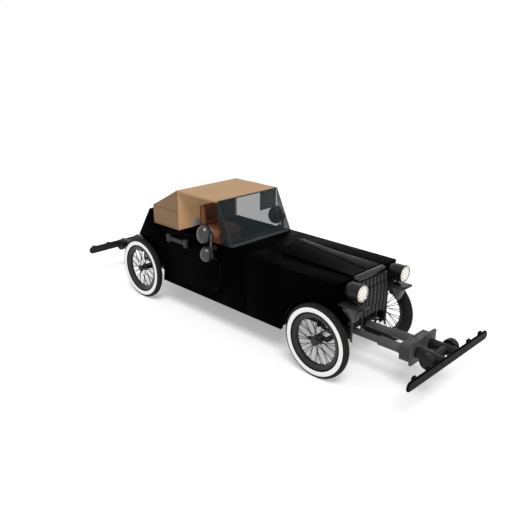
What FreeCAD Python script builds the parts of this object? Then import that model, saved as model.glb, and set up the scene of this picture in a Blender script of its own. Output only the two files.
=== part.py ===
import FreeCAD, Part
import math
import os

# 1920s touring car, in millimetres. The nose points to -Y, the car's right
# side is -X, +Z is up, and the origin is on the ground midway between the axles.
# Heights count from the ground, and names ending in _x, _y or _z are places.

V = FreeCAD.Vector

# Driving dimensions: wheels
wheelbase = 3000.0
tyre_radius = 401.0
tyre_width = 83.0
tyre_inner_radius = 296.0
bead_inset = 20.0
sidewall_rise = 40.0
shoulder_inset = 9.0
shoulder_drop = 18.0
crown_inset = 26.0
wheel_sides = 36
wheel_plane = 574.0
rim_half_width = 33.0
rim_inner_radius = 252.0
rim_edge_drop = 10.0
rim_floor_half = 16.0
flange_height = 3.0
flange_width = 8.0
hub_radius = 45.0
hub_outer_x = -56.0
hub_length = 96.0
hub_neck_radius = 34.0
hub_flange_radius = 50.0
hub_flange = 12.0
hub_sides = 12
spoke_pairs = 12
spoke_radius = 1.8
spoke_sides = 3
spoke_pair_angle = 9.0
spoke_root = 6.0
spindle_radius = 16.0
spindle_length = 46.0

# Driving dimensions: body
body_half = 525.0
sill_z = 325.0
belt_z = 1052.0
wall = 40.0
sheet = 10.0
nose_y = -1675.0
nose_z = 1046.0
wing_seam_y = -934.0
seam_half = 1.5
seam_depth = 3.0
wing_sheet = 30.0
wing_lip_z = 815.0
nose_wall_x = 300.0
apron_sheet = 10.0
scuttle_front_y = -440.0
scuttle_sheet = 34.0
firewall = 14.0
dash_drop = 74.0
dash_thickness = 18.0
door_front_y = 30.0
door_rear_y = 1000.0
door_sill_z = 390.0
deck_front_y = 799.0
deck_rear_y = 1293.0
crest_y = 1340.0
crest_z = 1240.0
crest_width = 22.0
tail_y = 1610.0
tail_z = 835.0
tail_edge = 35.0
tail_sheet = 14.0
front_arch_y = -1483.0
front_arch_z = 285.0
front_arch_radius = 525.0
rear_arch_y = 1496.0
rear_arch_z = 447.0
rear_arch_radius = 402.0

# Driving dimensions: hood
hood_half = 235.0
hood_rear_y = -700.0
hood_front_y = -1660.0
hood_crown_rear_z = 1165.0
hood_crown_front_z = 1068.0
hood_base_rear_z = 1080.0
hood_base_front_z = 1062.0
hood_sheet = 6.0
hood_flats = 5
wing_overlap = 25.0
former_width = 18.0
hinge_rod_radius = 5.5
hinge_barrel_radius = 10.0
hinge_barrel_length = 44.0
hinge_tab = 24.0
hinge_tab_half = 2.5

# Driving dimensions: glass and top
screen_base_y = -177.0
screen_half = 491.0
screen_top_y = 61.0
glass = 6.0
top_half = 493.0
top_z = 1558.5
screen_top_drop = 2.5
roof_thickness = 25.0
roof_front_y = 69.0
box_top_z = 1297.0
canvas = 18.0
side_tuck = 10.0
window_half = 252.0
window_top_z = 1147.0
visor_inner_x = 210.0
visor_outer_x = 486.0
visor_drop = 222.0
visor_thickness = 8.0
visor_setback = 4.0

# Driving dimensions: seat and steering
seat_low_x = -285.0
seat_high_x = 100.0
seat_front_y = 245.0
seat_rear_y = 635.0
seat_base_z = 885.0
seat_top_z = 1118.0
seat_roll_depth = 90.0
seat_roll_drop = 60.0
seat_back_y = 555.0
seat_back_height = 263.0
seat_border = 60.0
seat_recess = 30.0
seat_plate = 14.0
steering_x = -130.0
steering_y = 120.0
steering_z = 975.0
steering_rim_radius = 165.0
steering_grip = 10.0
steering_sides = 24
steering_hub_radius = 28.0
steering_hub_height = 30.0
steering_shaft_radius = 8.0
steering_shaft_length = 90.0
column_tilt = 25.0
column_length = 640.0
column_radius = 18.0
column_gap = 26.0

# Driving dimensions: frame, springs and axles
rail_x = 260.0
rail_width = 50.0
rail_z = 440.0
rail_height = 85.0
rail_web = 6.0
rail_plug = 60.0
frame_front_y = -1720.0
frame_rear_y = 1840.0
cross_member_ys = (-1600.0, -400.0, 300.0, 1000.0, 1790.0)
cross_member_half = 28.0
spring_eye_radius = 15.0
front_spring_reach = 200.0
rear_spring_reach = 330.0
spring_sag = 22.0
spring_side_gap = 5.0
leaf = 7.0
leaf_count = 4
leaf_step = 0.2
hanger_half = 18.0
axle_top_z = 371.0
axle_depth = 40.0
axle_half = 20.0
axle_web_half = 8.0
axle_flange = 9.0
kingpin_x = 500.0
kingpin_radius = 11.0
boss_radius = 20.0
boss_sides = 8
ear = 14.0
knuckle_half = 24.0
arm_length = 150.0
arm_half = 9.0
arm_eye_radius = 14.0
arm_stud_radius = 7.0
tie_rod_z = 345.0
tie_rod_radius = 9.0
tie_rod_eye_radius = 15.0
tie_rod_slack = 2.0
axle_tube_radius = 38.0
axle_ball_radius = 122.0
axle_ball_half = 95.0
torque_tube_radius = 32.0
spring_pad = 28.0
spring_pad_rise = 4.0
floor_thickness = 18.0
tow_spacing_x = 160.0
tow_spacing_z = 40.0
tow_hole_radius = 6.5
jack_pad_half = 20.0
jack_pad_depth = 6.0
jack_pad_ys = (-750.0, 1050.0)

# Driving dimensions: engine and exhaust
engine_half = 190.0
engine_front_y = -1470.0
engine_rear_y = -830.0
engine_top_z = 930.0
gearbox_half = 110.0
gearbox_rear_y = -480.0
gearbox_low_z = 345.0
gearbox_top_z = 610.0
engine_arm_half = 22.0
engine_arm_height = 36.0
engine_arm_reach = 34.0
engine_arm_ys = (-1360.0, -900.0)
exhaust_x = 165.0
exhaust_drop = 60.0
exhaust_front_y = -900.0
exhaust_rear_y = 1250.0
pipe_radius = 22.0
silencer_y = 400.0
silencer_radius = 52.0
silencer_length = 640.0
silencer_taper = 40.0
strap_half = 12.0

# Driving dimensions: grille and lamps
grille_half = 264.0
grille_front_y = -1765.0
grille_step = 10.0
grille_base_z = 600.0
grille_top_z = 1000.0
grille_low_break_z = 700.0
grille_high_break_z = 910.0
grille_break_half = 4.0
grille_ribs = 8
grille_rib_half = 22.0
grille_back = 35.0
core_half = 250.0
core_front_y = -1690.0
core_rear_y = -1640.0
core_foot_width = 58.0
header_y = -1700.0
header_z = 1028.0
header_radius = 40.0
header_half = 215.0
header_sides = 12
nose_strip_half = 14.0
lamp_x = 374.0
lamp_y = -1884.0
lamp_z = 973.0
lamp_radius = 90.0
lamp_depth = 190.0
lamp_sheet = 4.0
lamp_bezel = 3.0
lamp_sides = 20
stem_radius = 14.0
stem_setback = 80.0
lens_bulge = 5.0
lens_edge = 8.0
plate_z = 834.0
plate_thickness = 12.0
plate_outer_x = 482.0
plate_lip_y = -1920.0
plate_lip = 10.0
plate_inner_x = 292.0
pod_x = 387.0
pod_front_y = -1870.0
pod_depth = 168.0
pod_sides = 12
pod_dish_radius = 20.0
pod_dish_y = -1782.0
pod_dish_z = 750.0
pod_dish_depth = 38.0
post_width = 16.0
post_depth = 22.0
post_foot_z = 372.0
stay_half = 6.0
stay_depth = 20.0

# Driving dimensions: bumpers
blade_y = 2675.0
blade_half = 755.0
blade_low_z = 374.0
blade_high_z = 477.0
blade_thickness = 18.0
blade_end_flats = 6
blade_lug_xs = (380.0, 622.0)
blade_lug_half = 28.0
blade_lug_depth = 22.0
strut_x = 124.0
strut_z = 412.0
strut_radius = 36.0
strut_pad_half = 46.0
strut_pad_drop = 42.0
sleeve_radius = 50.0
sleeve_front_y = 1955.0
sleeve_rear_y = 2240.0
rear_sleeve_y = 2120.0
rear_blade_half = 690.0
rear_bumper_drop = 45.0
drum_radius = 56.0
drum_z = 440.0
drum_sides = 16
drum_inner_y = 2382.0
drum_cross_y = 2550.0
collar_radius = 78.0
collar_inner_x = 186.0
collar_outer_x = 250.0
cross_tube_radius = 48.0
damper_inner_x = 10.0
damper_outer_x = 215.0
damper_front_y = -2354.0
damper_low_z = 349.0
damper_high_z = 515.0
damper_slots = 5
damper_slot = 11.0
damper_slot_depth = 10.0
damper_margin = 25.0
flange_margin_x = 7.0
flange_low_z = 320.0
flange_high_z = 564.0
damper_hole_radius = 8.0

# Driving dimensions: door hinges, pulls and mirrors
door_hinge_radius = 9.0
door_hinge_offset = 10.0
door_pin_radius = 4.5
door_hinge_zs = (480.0, 860.0)
door_leaf_height = 40.0
door_leaf_length = 60.0
door_leaf_proud = 5.0
cowl_leaf_height = 24.0
pull_front_y = 560.0
pull_rear_y = 965.0
pull_z = 940.0
pull_half = 26.0
pull_plate_half = 50.0
pull_plate_length = 70.0
pull_gap = 12.0
pull_thickness = 18.0
pull_foot_half = 20.0
mirror_bar_reach = 75.0
mirror_bar_y = 60.0
mirror_bar_half = 9.0
mirror_bar_depth = 16.0
mirror_plate_half = 14.0
mirror_plate_depth = 30.0
mirror_plate_height = 66.0
upper_dome_reach = 70.0
upper_dome_y = 176.0
upper_dome_z = 1166.0
upper_dome_radius = 98.0
upper_dome_height = 118.0
lower_dome_reach = 90.0
lower_dome_y = 128.0
lower_dome_z = 940.0
lower_dome_radius = 78.0
lower_dome_height = 94.0
dome_sides = 14
dome_rows = 7
mirror_arm_z = 1000.0
mirror_arm_half = 15.0
mirror_foot_half = 30.0

# Clearances
door_gap = 5.0
seating = 0.3
running = 0.05

# Sizes that follow from the driving dimensions
front_axle_y = -wheelbase / 2
rear_axle_y = wheelbase / 2
screen_top_z = top_z - screen_top_drop
rail_top = rail_z + rail_height
rail_side = rail_x + rail_width
floor_top = rail_top + floor_thickness
inner_half = body_half - wall
half_tyre = tyre_width / 2
boss_low_z = axle_top_z + 1
boss_high_z = 2 * tyre_radius - boss_low_z
ear_low_z = boss_low_z - seating - ear
front_spring_level = axle_top_z + seating + leaf * leaf_count
rear_spring_level = tyre_radius - axle_tube_radius - spring_pad_rise - seating
spring_width = rail_width - 2 * spring_side_gap
tow_face_y = cross_member_ys[-1] + cross_member_half
wing_step = hood_half - wing_overlap
seat_back_low_z = seat_top_z + 1
seat_back_top_z = seat_back_low_z + seat_back_height
door_open_y = door_front_y - door_gap
hinge_x = body_half + door_hinge_offset
boss_reach = boss_radius / math.cos(math.pi / boss_sides)


def block(low_x, high_x, low_y, high_y, low_z, high_z):
    """A rectangular block between two corners."""
    size = V(high_x - low_x, high_y - low_y, high_z - low_z)
    return Part.makeBox(size.x, size.y, size.z, V(low_x, low_y, low_z))


def rod(start, end, radius):
    """A round bar between two points."""
    along = end - start
    return Part.makeCylinder(radius, along.Length, start, along)


def closed_line(corners):
    return Part.makePolygon(corners + corners[:1])


def side_plate(points, low_x, high_x):
    """A plate whose outline is given in the side view, as (y, z) points."""
    face = Part.Face(closed_line([V(low_x, y, z) for y, z in points]))
    return face.extrude(V(high_x - low_x, 0, 0))


def front_plate(points, low_y, high_y):
    """A plate whose outline is given in the front view, as (x, z) points."""
    face = Part.Face(closed_line([V(x, low_y, z) for x, z in points]))
    return face.extrude(V(0, high_y - low_y, 0))


def ring_faces(low, high, here, there, sides):
    """The faces between two rings of corners; low and high are (distance, radius)."""
    if low[0] == high[0]:
        if low[1] > high[1]:
            here, there = there, here
        disc = Part.Face(closed_line(there))
        if min(low[1], high[1]) == 0:
            return [disc]
        return disc.cut(Part.Face(closed_line(here))).Faces
    faces = []
    for side in range(sides):
        after = (side + 1) % sides
        corners = [here[side], there[side], there[after], here[after]]
        if low[1] == 0:
            corners = [here[side], there[side], there[after]]
        if high[1] == 0:
            corners = [here[side], there[side], here[after]]
        faces.append(Part.Face(closed_line(corners)))
    return faces


def faceted(points, start, axis, sides):
    """A turned body drawn with flats, from a closed profile of (distance, radius to the flats)."""
    half = math.pi / sides
    turns = [half + 2 * half * index for index in range(sides)]
    rings = []
    for along, radius in points:
        reach = radius / math.cos(half)
        rings.append([V(reach * math.cos(turn), reach * math.sin(turn), along) for turn in turns])
    faces = []
    for index in range(len(points)):
        following = (index + 1) % len(points)
        low = points[index]
        high = points[following]
        if low[1] > 0 or high[1] > 0:
            faces.extend(ring_faces(low, high, rings[index], rings[following], sides))
    solid = Part.makeSolid(Part.makeShell(faces))
    if solid.Volume < 0:
        solid.reverse()
    solid.Placement = FreeCAD.Placement(start, FreeCAD.Rotation(V(0, 0, 1), axis))
    return solid


def skin(rows):
    """A body drawn over closed rows of corners, three corners to a face."""
    faces = [Part.Face(closed_line(rows[0])), Part.Face(closed_line(rows[-1]))]
    for first, second in zip(rows, rows[1:]):
        for index in range(len(first)):
            after = (index + 1) % len(first)
            faces.append(Part.Face(closed_line([first[index], first[after], second[after]])))
            faces.append(Part.Face(closed_line([first[index], second[after], second[index]])))
    solid = Part.makeSolid(Part.makeShell(faces))
    if solid.Volume < 0:
        solid.reverse()
    return solid


def bar(start, end, radius, sides):
    """A straight bar with flats between two points."""
    along = end - start
    length = along.Length
    return faceted([(0, 0), (0, radius), (length, radius), (length, 0)], start, along, sides)


def joined(shapes):
    """One solid from shapes that share volume."""
    return shapes[0].multiFuse(shapes[1:]).removeSplitter()


def group(shapes):
    """Separate solids that share a node."""
    return Part.makeCompound(shapes)


def mirrored(shape):
    """The same piece on the other side of the car."""
    return shape.mirror(V(0, 0, 0), V(1, 0, 0))


def both(shape):
    """The piece and its mirror image, in one node."""
    return group([shape, mirrored(shape)])


def wall_span(side, thickness):
    """Lowest and highest x of the side wall's outer part, on either side of the car."""
    outer = side * body_half
    inner = side * (body_half - thickness)
    return min(outer, inner), max(outer, inner)


def deck_height(y):
    """Height of the wing tops, which fall slightly towards the nose."""
    share = (scuttle_front_y - y) / (scuttle_front_y - nose_y)
    return belt_z + (nose_z - belt_z) * max(0.0, share)


# Wheels

def make_tyre(x, y):
    """A high narrow tyre about the X axis."""
    side = [
        (half_tyre - bead_inset, tyre_inner_radius),
        (half_tyre, tyre_inner_radius + sidewall_rise),
        (half_tyre, tyre_radius - sidewall_rise),
        (half_tyre - shoulder_inset, tyre_radius - shoulder_drop),
        (half_tyre - crown_inset, tyre_radius),
    ]
    profile = [(-along, radius) for along, radius in side] + side[::-1]
    return faceted(profile, V(x, y, tyre_radius), V(1, 0, 0), wheel_sides)


def make_rim():
    seat = tyre_inner_radius - seating
    side = [
        (rim_floor_half, rim_inner_radius),
        (rim_half_width, tyre_inner_radius - rim_edge_drop),
        (rim_half_width, tyre_inner_radius + flange_height),
        (rim_half_width - flange_width, seat),
    ]
    profile = [(-along, radius) for along, radius in side] + side[::-1]
    return faceted(profile, V(0, 0, 0), V(1, 0, 0), wheel_sides)


def make_hub():
    outer = hub_outer_x
    inner = outer + hub_length
    profile = [
        (outer, 0),
        (outer, hub_radius * 0.8),
        (outer + hub_flange, hub_radius),
        (outer + 2.5 * hub_flange, hub_radius),
        (outer + 3 * hub_flange, hub_neck_radius),
        (inner - 1.3 * hub_flange, hub_neck_radius),
        (inner - hub_flange, hub_flange_radius),
        (inner, hub_flange_radius),
        (inner, 0),
    ]
    hub = faceted(profile, V(0, 0, 0), V(1, 0, 0), hub_sides)
    return hub.cut(rod(V(outer - 1, 0, 0), V(inner + 1, 0, 0), spindle_radius + running))


def make_spoke(angle, hub_end, lean):
    """A thin straight spoke from the hub to the rim."""
    root = hub_radius - spoke_root
    reach = rim_inner_radius + spoke_root
    start = V(hub_end, root * math.cos(angle), root * math.sin(angle))
    end = V(0, reach * math.cos(angle + lean), reach * math.sin(angle + lean))
    return bar(start, end, spoke_radius, spoke_sides)


def make_wire_wheel():
    """Rim, hub and paired spokes about the X axis, outer face towards -X."""
    outer_end = hub_outer_x + 2 * hub_flange
    inner_end = hub_outer_x + hub_length - hub_flange / 2
    half_pair = math.radians(spoke_pair_angle) / 2
    pieces = [make_rim(), make_hub()]
    for index in range(spoke_pairs):
        angle = 2 * math.pi * index / spoke_pairs
        hub_end = outer_end if index % 2 == 0 else inner_end
        for side in (-1, 1):
            pieces.append(make_spoke(angle + side * half_pair, hub_end, side * half_pair * 0.2))
    return joined(pieces)


# Front axle, knuckles and tie rod

def make_front_axle():
    """A forged beam with a web, cranked up to the kingpin bosses."""
    low = axle_top_z - axle_depth
    near = kingpin_x - 4 * boss_radius
    end = kingpin_x - boss_radius / 2
    rise = kingpin_x - 1.5 * boss_radius
    half = [
        (near, low),
        (rise, boss_low_z + 4),
        (end, boss_low_z + 4),
        (end, boss_high_z - 4),
        (rise, boss_high_z - 4),
        (near - boss_radius, axle_top_z),
    ]
    outline = half + [(-x, z) for x, z in half[::-1]]
    beam = front_plate(outline, front_axle_y - axle_half, front_axle_y + axle_half)
    pocket = near - 1.5 * boss_radius
    for front, rear in ((-2 * axle_half, -axle_web_half), (axle_web_half, 2 * axle_half)):
        beam = beam.cut(block(-pocket, pocket, front_axle_y + front, front_axle_y + rear,
                              low + axle_flange, axle_top_z - axle_flange))
    pieces = [beam]
    for side in (-1, 1):
        x = side * kingpin_x
        pieces.append(bar(V(x, front_axle_y, boss_low_z), V(x, front_axle_y, boss_high_z),
                          boss_radius, boss_sides))
    whole = joined(pieces)
    for side in (-1, 1):
        x = side * kingpin_x
        whole = whole.cut(rod(V(x, front_axle_y, boss_low_z - ear), V(x, front_axle_y, boss_high_z + ear),
                              kingpin_radius + running))
    return whole


def make_knuckle():
    """The right knuckle: two ears on the kingpin, a plate, the spindle and the arm."""
    x = -kingpin_x
    y = front_axle_y
    ear_high_z = boss_high_z + seating
    plate_x = hub_outer_x + hub_length - wheel_plane
    arm_y = y + arm_length
    pieces = [
        block(plate_x, x - boss_reach - 1, y - knuckle_half, y + knuckle_half,
              ear_low_z, ear_high_z + ear),
        rod(V(plate_x + 1, y, tyre_radius), V(-wheel_plane - spindle_length, y, tyre_radius), spindle_radius),
        rod(V(x, y, ear_low_z), V(x, y, ear_high_z + ear), kingpin_radius),
        block(x - arm_half, x + arm_half, y, arm_y, ear_low_z, ear_low_z + ear),
        bar(V(x, arm_y, ear_low_z), V(x, arm_y, ear_low_z + ear), arm_eye_radius, boss_sides),
        rod(V(x, arm_y, tie_rod_z - 1.2 * tie_rod_radius), V(x, arm_y, ear_low_z + 1), arm_stud_radius),
    ]
    for low in (ear_low_z, ear_high_z):
        pieces.append(bar(V(x, y, low), V(x, y, low + ear), boss_radius + 2, boss_sides))
        pieces.append(block(plate_x, x, y - boss_radius, y + boss_radius, low, low + ear))
    return joined(pieces)


def make_tie_rod():
    """The rod between the steering arms: a close eye on the right, a loose one on the left."""
    y = front_axle_y + arm_length
    low = tie_rod_z - tie_rod_radius
    high = tie_rod_z + tie_rod_radius
    pieces = [rod(V(-kingpin_x, y, tie_rod_z), V(kingpin_x, y, tie_rod_z), tie_rod_radius)]
    for side in (-1, 1):
        x = side * kingpin_x
        pieces.append(bar(V(x, y, low), V(x, y, high), tie_rod_eye_radius, boss_sides))
    whole = joined(pieces)
    for x, slack in ((-kingpin_x, running), (kingpin_x, tie_rod_slack)):
        whole = whole.cut(rod(V(x, y, low - ear), V(x, y, high + ear), arm_stud_radius + slack))
    return whole


# Rear axle and springs

def make_rear_axle():
    """Axle tubes and the bevel gear case, with the torque tube to the gearbox."""
    y = rear_axle_y
    z = tyre_radius
    end = wheel_plane - spindle_length
    case = [
        (-axle_ball_half, 0),
        (-axle_ball_half, axle_tube_radius),
        (-axle_ball_half * 0.7, axle_ball_radius * 0.78),
        (-axle_ball_half * 0.3, axle_ball_radius),
        (axle_ball_half * 0.3, axle_ball_radius),
        (axle_ball_half * 0.7, axle_ball_radius * 0.78),
        (axle_ball_half, axle_tube_radius),
        (axle_ball_half, 0),
    ]
    pieces = [
        bar(V(-end, y, z), V(end, y, z), axle_tube_radius, header_sides),
        faceted(case, V(0, y, z), V(1, 0, 0), drum_sides),
        bar(V(0, y, z), V(0, gearbox_rear_y + 1, z), torque_tube_radius, header_sides),
    ]
    for side in (-1, 1):
        pieces.append(rod(V(side * (end - 4), y, z), V(side * (wheel_plane + spindle_length), y, z),
                          spindle_radius))
        x = side * (rail_x + rail_width / 2)
        pieces.append(block(x - spring_pad, x + spring_pad, y - spring_pad, y + spring_pad,
                            z - axle_tube_radius - spring_pad_rise, z - axle_tube_radius / 2))
    return joined(pieces)


def make_leaf(axle_y, level, reach, index):
    """One curved leaf; leaf 0 is the main leaf, on top."""
    radius = (reach * reach + spring_sag * spring_sag) / (2 * spring_sag)
    centre_z = level + radius
    inner = radius + index * leaf
    outer = inner + leaf
    spread = reach * (1 - leaf_step * index) / radius

    def at(distance, turn):
        return V(0, axle_y + distance * math.sin(turn), centre_z - distance * math.cos(turn))

    upper = Part.Arc(at(inner, -spread), at(inner, 0), at(inner, spread)).toShape()
    lower = Part.Arc(at(outer, spread), at(outer, 0), at(outer, -spread)).toShape()
    rear = Part.makeLine(at(inner, spread), at(outer, spread))
    front = Part.makeLine(at(outer, -spread), at(inner, -spread))
    face = Part.Face(Part.Wire([upper, rear, lower, front]))
    return face.extrude(V(spring_width, 0, 0))


def eye_height(level):
    """Height of a spring eye, in line with the end of the main leaf."""
    return level + spring_sag - leaf / 2


def make_spring(axle_y, level, reach):
    """A semi-elliptic spring whose main leaf has its top at level over the axle."""
    low_x = rail_x + spring_side_gap
    stack = joined([make_leaf(axle_y, level, reach, index) for index in range(leaf_count)])
    stack.translate(V(low_x, 0, 0))
    pieces = [stack]
    for side in (-1, 1):
        start = V(low_x, axle_y + side * reach, eye_height(level))
        pieces.append(bar(start, start + V(spring_width, 0, 0), spring_eye_radius, boss_sides))
    return joined(pieces)


def make_springs():
    front = make_spring(front_axle_y, front_spring_level, front_spring_reach)
    rear = make_spring(rear_axle_y, rear_spring_level, rear_spring_reach)
    return group([front, mirrored(front), rear, mirrored(rear)])


# Frame

def make_hanger(y, z):
    """Two ears that hold a spring eye between them, under the left rail."""
    foot = z - spring_eye_radius - 4
    thickness = spring_side_gap - seating
    ears = []
    for start in (rail_x, rail_side - thickness):
        ears.append(block(start, start + thickness, y - hanger_half, y + hanger_half, foot, rail_z + 2))
    return ears


def make_rail():
    """The left side rail: a channel open to the inside, with spring hangers and jack pads below."""
    rail = block(rail_x, rail_side, frame_front_y, frame_rear_y, rail_z, rail_top)
    rail = rail.cut(block(rail_x - 1, rail_side - rail_web, frame_front_y + rail_plug,
                          frame_rear_y - rail_plug, rail_z + rail_web, rail_top - rail_web))
    pieces = [rail]
    for side in (-1, 1):
        pieces.extend(make_hanger(front_axle_y + side * front_spring_reach, eye_height(front_spring_level)))
        pieces.extend(make_hanger(rear_axle_y + side * rear_spring_reach, eye_height(rear_spring_level)))
    middle = rail_x + rail_width / 2
    for y in jack_pad_ys:
        pieces.append(block(middle - jack_pad_half, middle + jack_pad_half, y - 2 * jack_pad_half,
                            y + 2 * jack_pad_half, rail_z - jack_pad_depth, rail_z + 2))
    return joined(pieces)


def make_frame():
    """Two channels, five cross members and strut pads; the last member has four bolt holes."""
    rail = make_rail()
    pieces = [rail, mirrored(rail)]
    for y in cross_member_ys:
        pieces.append(block(-rail_x - rail_web, rail_x + rail_web, y - cross_member_half,
                            y + cross_member_half, rail_z, rail_top))
    for y in (cross_member_ys[0], cross_member_ys[-1]):
        for x in (-strut_x, strut_x):
            pieces.append(block(x - strut_pad_half, x + strut_pad_half, y - cross_member_half,
                                y + cross_member_half, strut_z - strut_pad_drop, rail_z + 2))
    whole = joined(pieces)
    middle_z = rail_z + rail_height / 2
    for x in (-tow_spacing_x / 2, tow_spacing_x / 2):
        for z in (middle_z - tow_spacing_z / 2, middle_z + tow_spacing_z / 2):
            whole = whole.cut(rod(V(x, tow_face_y - 3 * cross_member_half, z), V(x, tow_face_y + 1, z),
                                  tow_hole_radius))
    return whole


# Engine and exhaust

def make_engine():
    """One plain block with its gearbox, and the arms that rest on the rails."""
    pieces = [
        block(-engine_half, engine_half, engine_front_y, engine_rear_y, rail_z + door_gap, engine_top_z),
        block(-gearbox_half, gearbox_half, engine_rear_y - 20, gearbox_rear_y, gearbox_low_z, gearbox_top_z),
    ]
    reach = rail_x + engine_arm_reach
    for y in engine_arm_ys:
        pieces.append(block(-reach, reach, y - engine_arm_half, y + engine_arm_half,
                            rail_top, rail_top + engine_arm_height))
    return joined(pieces)


def make_exhaust():
    """Pipe and silencer slung under the cross members on the left."""
    x = exhaust_x
    z = rail_z - exhaust_drop
    silencer = [
        (0, 0),
        (0, pipe_radius),
        (silencer_taper, silencer_radius),
        (silencer_length - silencer_taper, silencer_radius),
        (silencer_length, pipe_radius),
        (silencer_length, 0),
    ]
    pieces = [
        bar(V(x, exhaust_front_y, rail_z + door_gap - seating), V(x, exhaust_front_y, z - pipe_radius),
            pipe_radius, header_sides),
        bar(V(x, exhaust_front_y, z), V(x, exhaust_rear_y, z), pipe_radius, header_sides),
        faceted(silencer, V(x, silencer_y, z), V(0, 1, 0), pod_sides),
    ]
    for y in cross_member_ys[2:4]:
        pieces.append(block(x - strap_half, x + strap_half, y - strap_half, y + strap_half,
                            z + pipe_radius / 2, rail_z - seating))
    return joined(pieces)


# Floor

def make_floor():
    """Floor pan, toe board, seat box with its back plate, and the sills under the doors."""
    toe_reach = inner_half - 15
    toe_base_y = scuttle_front_y + firewall + 1
    toe = side_plate(
        [
            (toe_base_y, floor_top + 147),
            (toe_base_y, floor_top + 127),
            (toe_base_y + 175, floor_top - 2),
            (toe_base_y + 199, floor_top - 2),
        ],
        -toe_reach,
        toe_reach,
    )
    pieces = [
        block(-inner_half, inner_half, scuttle_front_y, deck_rear_y, rail_top, floor_top),
        toe,
        block(seat_low_x + 25, seat_high_x - 25, seat_front_y + 25, seat_rear_y + seat_plate,
              floor_top - 2, seat_base_z - seating),
        block(seat_low_x + 30, seat_high_x - 30, seat_rear_y + seating, seat_rear_y + seat_plate,
              floor_top - 2, seat_back_top_z - seat_border),
    ]
    for side in (-1, 1):
        low, high = wall_span(side, wall)
        pieces.append(block(low, high, door_front_y - 2, door_rear_y, sill_z, door_sill_z))
        inner_x = side * inner_half
        pieces.append(block(inner_x - 10, inner_x + 10, door_front_y - 2, door_rear_y,
                            sill_z + 8, floor_top - 2))
    whole = joined(pieces)
    for side in (-1, 1):
        low, high = wall_span(side, wall + 2)
        whole = whole.cut(block(low, high, door_front_y - 4, door_rear_y + 2, door_sill_z, floor_top + 20))
    return whole


# Body

def make_side_panel():
    """The left rear quarter, with the rear arch and the raised rear crest."""
    outline = [
        (door_rear_y, sill_z),
        (tail_y, sill_z),
        (tail_y, tail_z),
        (crest_y, crest_z),
        (crest_y - crest_width, crest_z),
        (deck_rear_y + 1, belt_z),
        (door_rear_y, belt_z),
    ]
    panel = side_plate(outline, inner_half, body_half)
    arch = rod(V(inner_half - wall, rear_arch_y, rear_arch_z), V(body_half + wall, rear_arch_y, rear_arch_z),
               rear_arch_radius)
    below = block(inner_half - wall, body_half + wall, rear_arch_y, tail_y + wall, sill_z - 10, rear_arch_z)
    return panel.cut(arch).cut(below)


def make_tail():
    """Rear deck, bulkhead behind the seat, sloping back panel and its underside."""
    low = belt_z - wall
    base = floor_top + seating
    outline = [
        (deck_front_y, base),
        (deck_front_y, belt_z),
        (deck_rear_y + 1, belt_z),
        (crest_y - crest_width, crest_z),
        (crest_y, crest_z),
        (tail_y, tail_z),
        (tail_y, tail_z - tail_edge),
        (deck_rear_y, base),
    ]
    inside = [
        (deck_front_y + tail_sheet, base - 5),
        (deck_front_y + tail_sheet, low),
        (crest_y + 100, low),
        (tail_y - tail_edge, tail_z - tail_edge / 2),
        (deck_rear_y - tail_sheet, base + 20),
        (deck_rear_y - tail_sheet, base - 5),
    ]
    shell = side_plate(outline, -inner_half, inner_half)
    shell = shell.cut(side_plate(inside, -inner_half - 5, inner_half + 5))
    for side in (-1, 1):
        start = inner_half - door_gap if side > 0 else -inner_half - door_gap
        shell = shell.cut(block(start, start + 2 * door_gap, deck_front_y - 5, door_rear_y,
                                base - 5, belt_z + 5))
    return shell


def arch_points(y, crown, base, inset, start_x):
    """Half of an arched section, from near the centre line to its side, as points."""
    rise = crown - base
    radius = (rise * rise + hood_half * hood_half) / (2 * rise)
    reach = radius - inset
    points = []
    for index in range(hood_flats + 1):
        x = start_x + (hood_half - inset - start_x) * index / hood_flats
        points.append(V(x, y, crown - radius + math.sqrt(reach * reach - x * x)))
    return points


def make_hood_former():
    """The arched bulkhead on which the rear of the hood rests."""
    inset = hood_sheet + door_gap
    start_y = hood_rear_y - former_width
    low = deck_height(hood_rear_y) + seating
    half = arch_points(start_y, hood_crown_rear_z, hood_base_rear_z, inset, 0.0)
    left = [V(-point.x, point.y, point.z) for point in half[:0:-1]]
    foot = [V(half[-1].x, start_y, low), V(-half[-1].x, start_y, low)]
    face = Part.Face(closed_line(left + half + foot))
    return face.extrude(V(0, former_width + 4, 0))


def hinge_line():
    """Ends of the hood's centre hinge, rear first."""
    drop = hood_sheet / 2
    rear = V(0, hood_rear_y, hood_crown_rear_z - drop)
    front = V(0, hood_front_y, hood_crown_front_z - drop)
    return rear, front


def column_direction():
    tilt = math.radians(column_tilt)
    return V(0, math.cos(tilt), math.sin(tilt))


def make_column():
    """Fixed outer tube of the steering column, from the firewall to the wheel."""
    top = V(steering_x, steering_y, steering_z)
    along = column_direction()
    start = top - along * column_gap
    tube = bar(top - along * column_length, start, column_radius, header_sides)
    tube = tube.cut(rod(start - along * steering_shaft_length, start + along,
                        steering_shaft_radius + running))
    reach = 3 * column_radius
    return tube.cut(block(steering_x - reach, steering_x + reach, scuttle_front_y - column_length,
                          scuttle_front_y + 5, sill_z, belt_z))


def make_hinge_rod():
    """The centre rod of the hood's hinge, and the lug that holds its rear end."""
    rear, front = hinge_line()
    along = front - rear
    along.normalize()
    lug_half = hinge_rod_radius + 0.5
    return [
        rod(rear - along * 4, front - along * 4.4, hinge_rod_radius),
        block(-lug_half, lug_half, hood_rear_y - former_width, hood_rear_y + 4, rear.z - 30, rear.z),
    ]


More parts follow.
